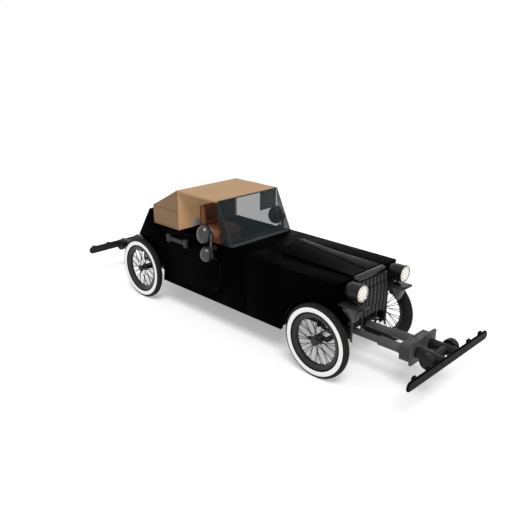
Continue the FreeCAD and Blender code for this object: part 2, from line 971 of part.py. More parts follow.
def make_cowl():
    """Side walls, firewall, deck up to the windscreen, hood former, hinge rod and column."""
    top = deck_height(scuttle_front_y)
    reach = inner_half + 2
    pieces = [
        block(-reach, reach, scuttle_front_y, scuttle_front_y + firewall, floor_top, top),
        block(-reach, reach, scuttle_front_y, door_open_y, top - scuttle_sheet, top),
        block(-reach, reach, door_open_y - dash_thickness, door_open_y, top - dash_drop, top),
        block(-wing_step, wing_step, hood_rear_y - former_width, scuttle_front_y + 2,
              top - scuttle_sheet, top),
        make_hood_former(),
        make_column(),
    ]
    pieces.extend(make_hinge_rod())
    for side in (-1, 1):
        low, high = wall_span(side, wall)
        pieces.append(block(low, high, scuttle_front_y, door_open_y, sill_z, top))
    return joined(pieces)


def add_door_pins(cowl):
    """Hinge leaves and pins on the cowl, below each door barrel."""
    pieces = [cowl]
    for z in door_hinge_zs:
        low = z - cowl_leaf_height
        high = z - seating
        piece = joined([
            bar(V(hinge_x, door_front_y, low), V(hinge_x, door_front_y, high), door_hinge_radius, boss_sides),
            rod(V(hinge_x, door_front_y, low + 2), V(hinge_x, door_front_y, z + door_leaf_height - 4),
                door_pin_radius),
            block(body_half - door_leaf_proud, body_half + door_leaf_proud,
                  door_front_y - door_leaf_length, door_front_y - 4, low, high),
        ])
        pieces.append(piece)
        pieces.append(mirrored(piece))
    return joined(pieces)


def make_front_quarter():
    """The left wing: outer wall with the wheel arch, sloping top, nose wall and apron."""
    rear_y = scuttle_front_y - seating
    outer = side_plate(
        [
            (nose_y, wing_lip_z),
            (nose_y, nose_z),
            (rear_y, belt_z),
            (rear_y, sill_z),
            (front_arch_y, sill_z),
            (front_arch_y, wing_lip_z),
        ],
        inner_half,
        body_half,
    )
    outer = outer.cut(rod(V(inner_half - wall, front_arch_y, front_arch_z),
                          V(body_half + wall, front_arch_y, front_arch_z), front_arch_radius))
    step = wing_step + seating
    top = side_plate(
        [
            (nose_y, nose_z - wing_sheet),
            (nose_y, nose_z),
            (rear_y, belt_z),
            (rear_y, belt_z - wing_sheet),
        ],
        step,
        inner_half + 2,
    )
    nose = block(nose_wall_x, inner_half + 2, nose_y, nose_y + wall, wing_lip_z, nose_z - 20)
    apron = side_plate(
        [
            (nose_y, rail_top),
            (nose_y, nose_z - 20),
            (rear_y, belt_z - 20),
            (rear_y, rail_top),
        ],
        rail_side - apron_sheet,
        rail_side,
    )
    seam_front = wing_seam_y - sheet
    bulkhead = block(rail_side - 5, inner_half + 2, seam_front, wing_seam_y, rail_top, nose_z)
    lower = block(rail_side + 2, inner_half + 2, seam_front, wing_seam_y, sill_z + 20, rail_top + 5)
    whole = joined([outer, top, nose, apron, bulkhead, lower])
    corner = header_half + header_radius + 8
    whole = whole.cut(block(step - 5, corner, nose_y - 5, header_y + header_radius + 5,
                            nose_z - 60, nose_z + 10))
    seam = block(body_half - seam_depth, body_half + 5, wing_seam_y - seam_half, wing_seam_y + seam_half,
                 sill_z - 5, belt_z + 5)
    return whole.cut(seam)


def hood_section(y, crown, base):
    """Section of the hood's left half, from the hinge gap round the side and back inside."""
    low = deck_height(y) + door_gap
    start_x = hinge_barrel_radius + 1
    outer = arch_points(y, crown, base, 0.0, start_x)
    inner = arch_points(y, crown, base, hood_sheet, start_x)
    lip = [V(hood_half, y, low), V(hood_half - hood_sheet, y, low)]
    return outer + lip + inner[::-1]


def make_hood_half(side, stations):
    """One half of the hood, with two barrels on the centre rod at the given shares of its length."""
    rear_section = hood_section(hood_rear_y, hood_crown_rear_z, hood_base_rear_z)
    front_section = hood_section(hood_front_y, hood_crown_front_z, hood_base_front_z)
    rear, front = hinge_line()
    along = front - rear
    length = along.Length
    along.normalize()
    slope = math.degrees(math.asin(along.z))
    pieces = [skin([rear_section, front_section])]
    for share in stations:
        start = rear + along * (length * share)
        pieces.append(bar(start, start + along * hinge_barrel_length, hinge_barrel_radius, boss_sides))
        tab = block(0, hinge_tab, -hinge_barrel_length, 0, -hinge_tab_half, hinge_tab_half)
        tab.Placement = FreeCAD.Placement(start, FreeCAD.Rotation(V(1, 0, 0), -slope))
        pieces.append(tab)
    half = joined(pieces)
    half = half.cut(rod(rear - along * 60, front + along * 60, hinge_rod_radius + 2 * running))
    return half if side > 0 else mirrored(half)


# Doors, pulls and mirrors

def make_door():
    """The left door: a slab as thick as the wall, with two hinge leaves at its front."""
    low_y = door_front_y + door_gap / 2
    high_y = door_rear_y - door_gap - 2
    pieces = [block(inner_half + 0.5, body_half, low_y, high_y, door_sill_z + door_gap, belt_z - door_gap)]
    for z in door_hinge_zs:
        high = z + door_leaf_height
        pieces.append(bar(V(hinge_x, door_front_y, z), V(hinge_x, door_front_y, high),
                          door_hinge_radius, boss_sides))
        pieces.append(block(body_half - door_leaf_proud, body_half + door_leaf_proud, door_front_y + 4,
                            door_front_y + door_leaf_length, z, high))
    whole = joined(pieces)
    for z in door_hinge_zs:
        whole = whole.cut(rod(V(hinge_x, door_front_y, z - 5),
                              V(hinge_x, door_front_y, z + door_leaf_height + 5),
                              door_pin_radius + running))
    return whole


def make_door_pull():
    """The left door's long pull: a flat bar on two end plates and a middle foot."""
    x = body_half + seating
    middle = (pull_front_y + pull_rear_y) / 2
    bar_x = x + pull_gap
    depth = pull_gap + pull_thickness + 4
    pieces = [
        block(bar_x, bar_x + pull_thickness, pull_front_y + 20, pull_rear_y - 20,
              pull_z - pull_half, pull_z + pull_half),
        block(x, bar_x + 2, middle - pull_foot_half, middle + pull_foot_half,
              pull_z - pull_half, pull_z + pull_half),
    ]
    for low in (pull_front_y, pull_rear_y - pull_plate_length):
        pieces.append(block(x, x + depth, low, low + pull_plate_length,
                            pull_z - pull_plate_half, pull_z + pull_plate_half))
    return joined(pieces)


def make_dome(x, y, z, radius, half_height):
    """An egg-shaped shell standing on its end."""
    profile = []
    for index in range(dome_rows + 1):
        turn = math.pi * index / dome_rows
        reach = 0.0 if index in (0, dome_rows) else radius * math.sin(turn)
        profile.append((-half_height * math.cos(turn), reach))
    return faceted(profile, V(x, y, z), V(0, 0, 1), dome_sides)


def make_mirror():
    """The left pair of egg-shaped mirrors on an upright bar that stands off the door."""
    x = body_half + mirror_bar_reach
    y = mirror_bar_y
    half = mirror_plate_half
    low = lower_dome_z - mirror_plate_height / 2
    high = upper_dome_z + mirror_plate_height / 2
    foot = body_half + seating
    pieces = [
        block(x - mirror_bar_half, x + mirror_bar_half, y - mirror_bar_depth, y + mirror_bar_depth,
              low + 10, high - 10),
        block(foot, x, y - mirror_arm_half, y + mirror_arm_half,
              mirror_arm_z - mirror_arm_half, mirror_arm_z + mirror_arm_half),
        block(foot, foot + sheet, y - mirror_arm_half, y + mirror_foot_half,
              mirror_arm_z - mirror_foot_half, mirror_arm_z + mirror_foot_half),
        make_dome(body_half + upper_dome_reach, upper_dome_y, upper_dome_z, upper_dome_radius,
                  upper_dome_height),
        make_dome(body_half + lower_dome_reach, lower_dome_y, lower_dome_z, lower_dome_radius,
                  lower_dome_height),
    ]
    for base in (low, high - mirror_plate_height):
        pieces.append(block(x - half, x + half, y - mirror_plate_depth, y + mirror_plate_depth,
                            base, base + mirror_plate_height))
    return joined(pieces)


# Radiator, lamps and their brackets

def make_header():
    """The rounded bar over the grille, with domed ends."""
    length = 2 * header_half
    profile = [
        (-header_radius, 0),
        (-header_radius, header_radius * 0.35),
        (-header_radius * 0.7, header_radius * 0.75),
        (0, header_radius),
        (length, header_radius),
        (length + header_radius * 0.7, header_radius * 0.75),
        (length + header_radius, header_radius * 0.35),
        (length + header_radius, 0),
    ]
    return faceted(profile, V(-header_half, header_y, header_z), V(1, 0, 0), header_sides)


def make_radiator():
    """Core on two feet, ribbed grille in three tiers on two stays, and the rounded header bar."""
    back_y = header_y - grille_back
    core_rear = core_rear_y
    strip_rear = hood_front_y + 4
    pieces = [
        block(-core_half, core_half, core_front_y, core_rear, grille_base_z - wall, nose_z - 36),
        block(-grille_half, grille_half, back_y, header_y + 12, grille_base_z, grille_top_z),
        make_header(),
        block(-nose_strip_half, nose_strip_half, nose_y + 7, strip_rear, grille_top_z, nose_z + 4),
        block(-nose_strip_half / 2, nose_strip_half / 2, nose_y + 7, strip_rear, nose_z - 6,
              hood_crown_front_z - 2),
    ]
    tiers = (
        (grille_base_z, grille_low_break_z - grille_break_half, grille_step),
        (grille_low_break_z + grille_break_half, grille_high_break_z - grille_break_half, 0),
        (grille_high_break_z + grille_break_half, grille_top_z, grille_step),
    )
    pitch = 2 * grille_half / grille_ribs
    for index in range(grille_ribs):
        x = (index - (grille_ribs - 1) / 2) * pitch
        for low, high, setback in tiers:
            pieces.append(block(x - grille_rib_half, x + grille_rib_half, grille_front_y + setback,
                                back_y + 5, low, high))
    foot_x = core_half - wing_overlap + 7
    for low in (foot_x, -foot_x - core_foot_width):
        pieces.append(block(low, low + core_foot_width, core_front_y, core_rear,
                            rail_top + seating, grille_base_z - wall / 2))
    for x in (-strut_x, strut_x):
        pieces.append(block(x - stay_half, x + stay_half, back_y, back_y + stay_depth,
                            strut_z + strut_radius + seating, grille_base_z + 5))
    return joined(pieces)


def make_headlamp():
    """The left lamp: a hollow drum with a rounded back, on a short stem."""
    back = lamp_depth
    skin = lamp_radius - lamp_sheet
    profile = [
        (0, lamp_radius + lamp_bezel),
        (10, lamp_radius + lamp_bezel),
        (14, lamp_radius - 1),
        (back * 0.68, lamp_radius - 4),
        (back * 0.86, lamp_radius * 0.8),
        (back * 0.97, lamp_radius * 0.49),
        (back, 0),
        (back * 0.68, 0),
        (back * 0.6, lamp_radius * 0.45),
        (40, skin - lamp_sheet),
        (0, skin),
    ]
    shell = faceted(profile, V(lamp_x, lamp_y, lamp_z), V(0, 1, 0), lamp_sides)
    foot = lamp_z - lamp_radius + 8
    stem_y = lamp_y + stem_setback
    stem = bar(V(lamp_x, stem_y, plate_z + seating), V(lamp_x, stem_y, foot), stem_radius, boss_sides)
    return joined([shell, stem])


def make_lens():
    """The left lamp's lens, seated in the front of the drum."""
    edge = lamp_radius - lamp_sheet - seating
    profile = [
        (-lens_bulge, 0),
        (-lens_bulge, edge * 0.4),
        (0, edge * 0.92),
        (0, edge),
        (lens_edge, edge - 1),
        (lens_edge, 0),
    ]
    return faceted(profile, V(lamp_x, lamp_y, lamp_z), V(0, 1, 0), lamp_sides)


def pod_row(y, width, depth):
    """A half-oval row of corners hanging from the plate's underside."""
    top = plate_z - plate_thickness + 2
    corners = []
    for index in range(pod_sides + 1):
        turn = math.pi * index / pod_sides
        corners.append(V(pod_x - width * math.cos(turn), y, top - depth * math.sin(turn)))
    return corners


def make_pod():
    """The deep rounded fairing under the lamp plate, with a dish in each side."""
    length = core_front_y - pod_front_y
    half = plate_outer_x - pod_x
    stations = (
        (0.0, 0.3, 0.24),
        (0.08, 0.62, 0.68),
        (0.24, 0.9, 1.0),
        (0.42, 1.0, 0.76),
        (0.56, 1.0, 0.6),
        (0.76, 0.86, 0.5),
        (1.0, 0.54, 0.36),
    )
    rows = []
    for share, width, depth in stations:
        rows.append(pod_row(pod_front_y + share * length, width * half, depth * pod_depth))
    pod = skin(rows)
    for side in (-1, 1):
        start = V(pod_x + side * (half - pod_dish_depth), pod_dish_y, pod_dish_z)
        pod = pod.cut(bar(start, start + V(side * half, 0, 0), pod_dish_radius, boss_sides))
    return pod


def make_lamp_bracket():
    """The left plate with a lip, the pod under it, and the post down past the rail's end."""
    low_x = plate_inner_x
    top = plate_z
    pieces = [
        block(low_x, plate_outer_x, plate_lip_y, nose_y - seating, top - plate_thickness, top),
        block(low_x, plate_outer_x, plate_lip_y, plate_lip_y + plate_lip, top - 2 * plate_thickness, top),
        make_pod(),
        block(low_x, low_x + post_width, frame_front_y - post_depth, frame_front_y - seating,
              post_foot_z, top - plate_thickness / 2),
    ]
    return joined(pieces)


# Glass and top

def make_windows():
    """The wrap-around windscreen and the small rear pane."""
    base_z = deck_height(scuttle_front_y) + seating
    lean = (screen_top_y - screen_base_y) / (screen_top_z - base_z)
    inward = glass / math.cos(math.atan(lean))
    front = side_plate(
        [
            (screen_base_y, base_z),
            (screen_top_y, screen_top_z),
            (screen_top_y + inward, screen_top_z),
            (screen_base_y + inward, base_z),
        ],
        -screen_half,
        screen_half,
    )
    drop = top_z - roof_thickness - seating
    side_top_y = screen_base_y + lean * (drop - base_z)
    pieces = [front]
    for low in (-screen_half, screen_half - glass):
        pieces.append(side_plate(
            [
                (screen_base_y, base_z),
                (side_top_y, drop),
                (side_top_y + inward, drop),
                (door_open_y, base_z + 2),
                (door_open_y, base_z),
            ],
            low,
            low + glass,
        ))
    pane_y = deck_front_y + glass
    rear = block(-window_half + seating, window_half - seating, pane_y, pane_y + glass,
                 belt_z + seating, window_top_z - seating)
    return group([joined(pieces), rear])


def make_visors():
    """Two smoked visors that hang from the roof's front edge."""
    z = top_z - roof_thickness - seating
    front = roof_front_y + visor_setback
    return both(block(visor_inner_x, visor_outer_x, front, front + visor_thickness, z - visor_drop, z))


def make_canvas_top():
    """Flat roof, cross wall with its window notch, box over the rear deck and its sloping top."""
    floor = belt_z + seating
    rear = deck_rear_y
    roof_low = top_z - roof_thickness
    slope = (top_z - box_top_z) / (rear - deck_front_y)
    skin = canvas * math.sqrt(1 + slope * slope)
    outer = side_plate(
        [
            (roof_front_y, roof_low),
            (roof_front_y, top_z),
            (deck_front_y, top_z),
            (rear, box_top_z),
            (rear, floor),
            (deck_front_y, floor),
            (deck_front_y, roof_low),
        ],
        -top_half,
        top_half,
    )
    inside = side_plate(
        [
            (deck_front_y + canvas, floor - 5),
            (deck_front_y + canvas, top_z - slope * canvas - skin),
            (rear - canvas, box_top_z + slope * canvas - skin),
            (rear - canvas, floor - 5),
        ],
        -top_half + canvas,
        top_half - canvas,
    )
    notch = block(-window_half, window_half, deck_front_y - 5, deck_front_y + canvas + 5,
                  floor - 5, window_top_z)
    whole = outer.cut(inside).cut(notch)
    wedge = [
        (deck_front_y + 2, box_top_z),
        (deck_front_y + 2, top_z + 60),
        (rear + 60, top_z + 60),
        (rear + 60, box_top_z),
    ]
    for low in (-top_half, top_half - side_tuck):
        whole = whole.cut(side_plate(wedge, low, low + side_tuck))
    return whole


# Seat

def make_cushion():
    """A deep seat cushion with a rolled front edge."""
    profile = [
        (seat_front_y + 16, seat_base_z),
        (seat_rear_y, seat_base_z),
        (seat_rear_y - 6, seat_top_z - 6),
        (seat_front_y + seat_roll_depth, seat_top_z),
        (seat_front_y + seat_roll_depth / 3, seat_top_z - seat_roll_drop / 4),
        (seat_front_y, seat_top_z - seat_roll_drop),
    ]
    return side_plate(profile, seat_low_x, seat_high_x)


def make_seat_back():
    """The backrest: a padded border round a recessed panel."""
    frame = block(seat_low_x, seat_high_x, seat_back_y, seat_rear_y, seat_back_low_z, seat_back_top_z)
    recess = block(seat_low_x + seat_border, seat_high_x - seat_border, seat_back_y - 1,
                   seat_back_y + seat_recess, seat_back_low_z + seat_border / 2,
                   seat_back_top_z - seat_border)
    return frame.cut(recess)


# Steering wheel

def make_steering_wheel():
    """Rim, hub, four spokes and the shaft in the column."""
    ring = steering_rim_radius
    grip = steering_grip
    rim = faceted(
        [
            (-grip * 0.5, ring - grip),
            (-grip, ring),
            (-grip * 0.5, ring + grip),
            (grip * 0.5, ring + grip),
            (grip, ring),
            (grip * 0.5, ring - grip),
        ],
        V(0, 0, 0),
        V(0, 0, 1),
        steering_sides,
    )
    hub_low = seating - column_gap
    pieces = [
        rim,
        bar(V(0, 0, hub_low), V(0, 0, hub_low + steering_hub_height), steering_hub_radius, boss_sides),
        rod(V(0, 0, -steering_shaft_length), V(0, 0, 0), steering_shaft_radius),
    ]
    for index in range(4):
        turn = math.pi * (0.25 + 0.5 * index)
        end = V(ring * math.cos(turn), ring * math.sin(turn), 0)
        pieces.append(bar(V(0, 0, -steering_shaft_radius), end, grip * 0.6, 6))
    whole = joined(pieces)
    whole.Placement = FreeCAD.Placement(V(steering_x, steering_y, steering_z),
                                        FreeCAD.Rotation(V(0, 0, 1), column_direction()))
    return whole


# Bumpers

def make_bumper_struts():
    """Telescopic tubes and sleeves that carry the two bumpers."""
    front_face = cross_member_ys[0] - cross_member_half
    front = joined([
        bar(V(strut_x, front_face, strut_z), V(strut_x, -sleeve_front_y - 5, strut_z), strut_radius,
            drum_sides),
        bar(V(strut_x, -sleeve_front_y, strut_z), V(strut_x, -sleeve_rear_y, strut_z), sleeve_radius,
            drum_sides),
    ])
    rear = joined([
        bar(V(strut_x, tow_face_y, strut_z), V(strut_x, rear_sleeve_y + 10, strut_z), strut_radius,
            drum_sides),
        bar(V(strut_x, rear_sleeve_y, strut_z), V(strut_x, drum_inner_y, strut_z), sleeve_radius, drum_sides),
    ])
    return group([front, mirrored(front), rear, mirrored(rear)])


def make_damper_block():
    """The left finned block between the sleeve and the outer drum."""
    low = damper_inner_x
    high = damper_outer_x
    slot_low = damper_low_z + damper_margin
    slot_high = damper_high_z - damper_margin
    body = block(low, high, damper_front_y, -sleeve_rear_y, damper_low_z, damper_high_z)
    pitch = (-sleeve_rear_y - damper_front_y) / (damper_slots + 0.4)
    for index in range(damper_slots):
        y = damper_front_y + pitch * (index + 0.6)
        for x in (low, high):
            body = body.cut(block(x - damper_slot_depth, x + damper_slot_depth, y, y + damper_slot,
                                  slot_low, slot_high))
    middle = (damper_front_y - sleeve_rear_y) / 2
    for y in (middle - 1.3 * pitch, middle + 1.3 * pitch):
        body = body.cut(block(low + 28, low + 98, y - 5, y + 5, damper_high_z - 8, damper_high_z + 8))
        body = body.cut(bar(V(low + 148, y, damper_high_z - 32), V(low + 148, y, damper_high_z + 8),
                            damper_hole_radius, boss_sides))
    flange = block(low - flange_margin_x + 1, high + flange_margin_x, -drum_inner_y, damper_front_y,
                   flange_low_z, flange_high_z)
    return joined([body, flange])


def blade_outline(long_half):
    """Front view of a blade with rounded ends."""
    middle = (blade_low_z + blade_high_z) / 2
    half = (blade_high_z - blade_low_z) / 2
    points = []
    for index in range(blade_end_flats + 1):
        turn = math.pi * (index / blade_end_flats - 0.5)
        points.append((long_half - half + half * math.cos(turn), middle + half * math.sin(turn)))
    return points + [(-x, z) for x, z in points[::-1]]


def make_bumper(long_half):
    """A blade at the front with its lugs, the two drums and the cross tube."""
    inner = -blade_y + blade_thickness
    middle = (blade_low_z + blade_high_z) / 2
    pieces = [front_plate(blade_outline(long_half), -blade_y, inner)]
    for side in (-1, 1):
        for lug_x in blade_lug_xs:
            x = side * lug_x
            pieces.append(block(x - blade_lug_half, x + blade_lug_half, inner - 4, inner + blade_lug_depth,
                                middle, blade_high_z + 12))
        x = side * strut_x
        pieces.append(bar(V(x, inner - 2, drum_z), V(x, -drum_inner_y, drum_z), drum_radius, drum_sides))
        pieces.append(bar(V(side * collar_inner_x, -drum_cross_y, drum_z),
                          V(side * collar_outer_x, -drum_cross_y, drum_z), collar_radius, drum_sides))
    pieces.append(bar(V(-collar_inner_x - 5, -drum_cross_y, drum_z),
                      V(collar_inner_x + 5, -drum_cross_y, drum_z),
                      cross_tube_radius, drum_sides))
    return joined(pieces)


def make_bumpers():
    """The front bumper, and a lower and narrower one at the rear."""
    rear = make_bumper(rear_blade_half).mirror(V(0, 0, 0), V(0, 1, 0))
    rear.translate(V(0, 0, -rear_bumper_drop))
    return group([make_bumper(blade_half), rear])


def save(shape, name):
    """Write one piece as a STEP file."""
    shape.exportStep("parts/" + name + ".step")


def save_pair(left, name):
    """Write a left piece and its mirror image as two files."""
    save(left, name + "_left")
    save(mirrored(left), name + "_right")


def save_wheels():
    wire_wheel = make_wire_wheel()
    for end, y in (("front", front_axle_y), ("rear", rear_axle_y)):
        for side, x in (("right", -wheel_plane), ("left", wheel_plane)):
            placed = wire_wheel.copy() if x < 0 else mirrored(wire_wheel)
            placed.translate(V(x, y, tyre_radius))
            save(placed, "wheel_" + end + "_" + side)
            save(make_tyre(x, y), "tyre_" + end + "_" + side)


def main():
    os.makedirs("parts", exist_ok=True)
    save_wheels()
    save(make_frame(), "frame")
    save(make_engine(), "engine")
    save(make_exhaust(), "exhaust")
    save(make_floor(), "floor")
    save_pair(make_side_panel(), "side_panel")
    save(make_tail(), "tail")
    save(add_door_pins(make_cowl()), "cowl")
    save_pair(make_front_quarter(), "front_quarter")
    save(make_hood_half(1, (0.1, 0.6)), "hood_left")
    save(make_hood_half(-1, (0.3, 0.8)), "hood_right")
    save_pair(make_door(), "door")
    save_pair(make_door_pull(), "door_pull")
    save_pair(make_mirror(), "mirror")
    save(make_radiator(), "radiator")
    save(both(make_headlamp()), "headlamps")
    save(both(make_lens()), "headlamp_lenses")
    save(both(make_lamp_bracket()), "lamp_brackets")
    save(make_windows(), "window_glass")
    save(make_visors(), "sun_visors")
    save(make_canvas_top(), "canvas_top")
    save(make_cushion(), "seat_cushion")
    save(make_seat_back(), "seat_back")
    save(make_steering_wheel(), "steering_wheel")
    save(make_front_axle(), "front_axle")
    save(make_rear_axle(), "rear_axle")
    save(make_springs(), "leaf_springs")
    knuckle = make_knuckle()
    save(knuckle, "knuckle_right")
    save(mirrored(knuckle), "knuckle_left")
    save(make_tie_rod(), "tie_rod")
    save(make_bumper_struts(), "bumper_struts")
    save(both(make_damper_block()), "damper_blocks")
    save(make_bumpers(), "bumpers")


main()
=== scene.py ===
import math

import bmesh
import bpy
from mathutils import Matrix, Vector
from mathutils.bvhtree import BVHTree


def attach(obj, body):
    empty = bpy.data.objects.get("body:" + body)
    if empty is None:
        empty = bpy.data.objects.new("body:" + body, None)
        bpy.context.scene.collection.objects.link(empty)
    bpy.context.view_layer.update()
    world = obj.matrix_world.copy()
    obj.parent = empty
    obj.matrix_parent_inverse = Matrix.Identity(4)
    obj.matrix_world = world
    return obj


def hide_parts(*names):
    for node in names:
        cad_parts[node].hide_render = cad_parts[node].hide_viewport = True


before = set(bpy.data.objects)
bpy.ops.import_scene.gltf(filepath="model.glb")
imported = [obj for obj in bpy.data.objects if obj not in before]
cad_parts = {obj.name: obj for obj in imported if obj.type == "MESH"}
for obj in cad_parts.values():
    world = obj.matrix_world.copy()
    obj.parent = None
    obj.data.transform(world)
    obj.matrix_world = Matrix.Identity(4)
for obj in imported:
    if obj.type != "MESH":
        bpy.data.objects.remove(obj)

bl_info = {
    "name": "Touring car dressing",
    "version": (1, 0, 0),
    "blender": (4, 5, 0),
    "location": "3D View > Sidebar > Touring car",
    "description": "Wheels, canvas top, leather seat, lamps and paint for a 1920s touring car",
    "category": "Object",
}

SIDES = (("left", 1), ("right", -1))
ENDS = (("front", -1.5), ("rear", 1.5))

# Places of the CAD's parts, in metres
WHEEL_X, WHEEL_Z = 0.574, 0.401
LAMP_X, LAMP_Y, LAMP_Z, POD_X = 0.374, -1.884, 0.973, 0.387
STRUT_X, STRUT_Z = (-0.124, 0.124), 0.412
BLADE_Y, DRUM_Y = 2.675, 2.550
ROOF_FRONT, ROOF_REAR, BOX_REAR = 0.069, 0.799, 1.293
ROOF_Z, BOX_Z, BELT_Z = 1.5585, 1.297, 1.0525
TOP_HALF, RAIL_X, SCREEN_HALF = 0.493, 0.478, 0.4885
PANE_HALF, PANE_TOP = 0.252, 1.147
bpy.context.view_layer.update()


def length_property(name, description, value):
    return bpy.props.FloatProperty(name=name, description=description, default=value, unit="LENGTH")


class TouringSizes(bpy.types.PropertyGroup):
    """Sizes of the dressed pieces that a user may change."""

    spoke_pairs: bpy.props.IntProperty(
        name="Spoke pairs", description="Pairs of spokes in each wheel, half of them to each hub end",
        default=18, min=8, max=24)
    spoke_radius: length_property("Spoke radius", "Radius of a wheel spoke", 0.0034)
    tread_blocks: bpy.props.IntProperty(
        name="Tread blocks", description="Blocks in each row of a tyre's tread", default=84, min=24, max=160)
    white_ring_inner: length_property(
        "White ring inner radius", "Radius where the white ring begins on the sidewall", 0.317)
    white_ring_outer: length_property(
        "White ring outer radius", "Radius where the white ring ends on the sidewall", 0.366)
    grille_ribs: bpy.props.IntProperty(
        name="Grille ribs", description="Upright ribs in each tier of the grille", default=8, min=5, max=21)
    stitch_spacing: length_property("Stitch spacing", "Distance from one stitch to the next", 0.012)
    stitch_length: length_property("Stitch length", "Length of one stitch", 0.008)
    canvas_sag: length_property("Canvas sag", "How far the canvas dips between its bows", 0.002)
    canvas_thickness: length_property("Canvas thickness", "Thickness of the waterproofed canvas", 0.003)
    cushion_swell: length_property("Cushion swell", "Furthest that the seat's padding may rise", 0.018)


def colour_property(name, description, value):
    return bpy.props.FloatVectorProperty(name=name, description=description, subtype="COLOR",
                                         size=3, min=0.0, max=1.0, default=value)


class TouringColours(bpy.types.PropertyGroup):
    """Colours of the finishes that a user may change."""

    body: colour_property("Body", "Black body paint", (0.0006, 0.0006, 0.0007))
    hood: colour_property("Hood", "Black hood paint", (0.0011, 0.0011, 0.0012))
    chassis: colour_property("Chassis", "Satin chassis paint", (0.005, 0.005, 0.0055))
    strut: colour_property("Struts", "Grey paint of the bumper struts", (0.078, 0.078, 0.080))
    bumper: colour_property("Bumpers", "Dark paint of the front bumper blade", (0.002, 0.002, 0.0023))
    grille: colour_property("Grille", "Grey paint of the grille", (0.024, 0.024, 0.026))
    lamp: colour_property("Lamps", "Dark paint of the lamp shells", (0.007, 0.007, 0.008))
    mirror: colour_property("Mirrors", "Gloss grey paint of the mirror shells", (0.012, 0.012, 0.014))
    pull: colour_property("Pulls", "Satin grey paint of the door pulls", (0.011, 0.011, 0.012))
    canvas: colour_property("Canvas", "Tan waterproofed canvas", (0.60, 0.365, 0.19))
    leather: colour_property("Leather", "Brown seat leather", (0.36, 0.125, 0.055))
    white_ring: colour_property("White ring", "White rubber of the sidewalls", (0.97, 0.97, 0.96))
    rubber: colour_property("Rubber", "Black rubber of the tyres", (0.010, 0.010, 0.010))
    glass: colour_property("Glass", "Tint of the windscreen", (0.014, 0.023, 0.026))
    floor: colour_property("Floor", "Pale studio floor", (0.86, 0.86, 0.86))


def sizes():
    return bpy.context.scene.touring_sizes


def colours():
    return bpy.context.scene.touring_colours


# Node groups and materials

def feed(tree, socket, value):
    """Links a socket, or sets a plain value."""
    if isinstance(value, bpy.types.NodeSocket):
        tree.links.new(value, socket)
    else:
        socket.default_value = value


def feed_all(tree, sockets, values):
    for socket, value in zip(sockets, values):
        feed(tree, socket, value)


def add_node(tree, kind, values=None, **settings):
    """A node with its settings, and with its sockets linked or set to values."""
    made = tree.nodes.new(kind)
    for key, value in settings.items():
        setattr(made, key, value)
    for key, value in (values or {}).items():
        feed(tree, made.inputs[key], value)
    return made


def calculate(tree, operation, *values):
    made = add_node(tree, "ShaderNodeMath", operation=operation)
    feed_all(tree, made.inputs, values)
    return made.outputs[0]


def times(tree, first, second):
    return calculate(tree, "MULTIPLY", first, second)


def plus(tree, first, second):
    return calculate(tree, "ADD", first, second)


def minus(tree, first, second):
    return calculate(tree, "SUBTRACT", first, second)


def remap(tree, value, low, high, to_low=0.0, to_high=1.0):
    made = add_node(tree, "ShaderNodeMapRange", clamp=True)
    feed_all(tree, made.inputs, (value, low, high, to_low, to_high))
    return made.outputs[0]


def mix_colours(tree, factor, first, second):
    return add_node(tree, "ShaderNodeMix", {0: factor, 6: first, 7: second}, data_type="RGBA").outputs[2]


def split(tree, vector):
    return add_node(tree, "ShaderNodeSeparateXYZ", {0: vector}).outputs


def noise(tree, place, scale, detail=2.0):
    values = {"Vector": place, "Scale": scale, "Detail": detail}
    return add_node(tree, "ShaderNodeTexNoise", values).outputs["Fac"]


def own_place(tree):
    return add_node(tree, "ShaderNodeTexCoord").outputs["Object"]


def slant_waves(tree, first, second, pitch):
    """Folded waves along both slants of a grid, for a hatch or a pattern of diamonds."""
    slants = (plus(tree, first, second), minus(tree, first, second))
    return [calculate(tree, "ABSOLUTE", calculate(tree, "SINE", times(tree, slant, pitch))) for slant in slants]


def new_group(name, inputs, outputs, kind="ShaderNodeTree"):
    """A node group with named sockets (name, socket type, default), what it is given and its results."""
    tree = bpy.data.node_groups.new(name, kind)
    for label, socket, value in inputs:
        made = tree.interface.new_socket(label, in_out="INPUT", socket_type=socket)
        if value is not None:
            made.default_value = value
    for label, socket in outputs:
        tree.interface.new_socket(label, in_out="OUTPUT", socket_type=socket)
    return tree, add_node(tree, "NodeGroupInput").outputs, add_node(tree, "NodeGroupOutput").inputs


FLOAT = "NodeSocketFloat"
COLOUR = "NodeSocketColor"
SHADE = [("Colour", COLOUR), ("Roughness", FLOAT), ("Height", FLOAT)]
ROAD_DUST = (0.35, 0.31, 0.26, 1)


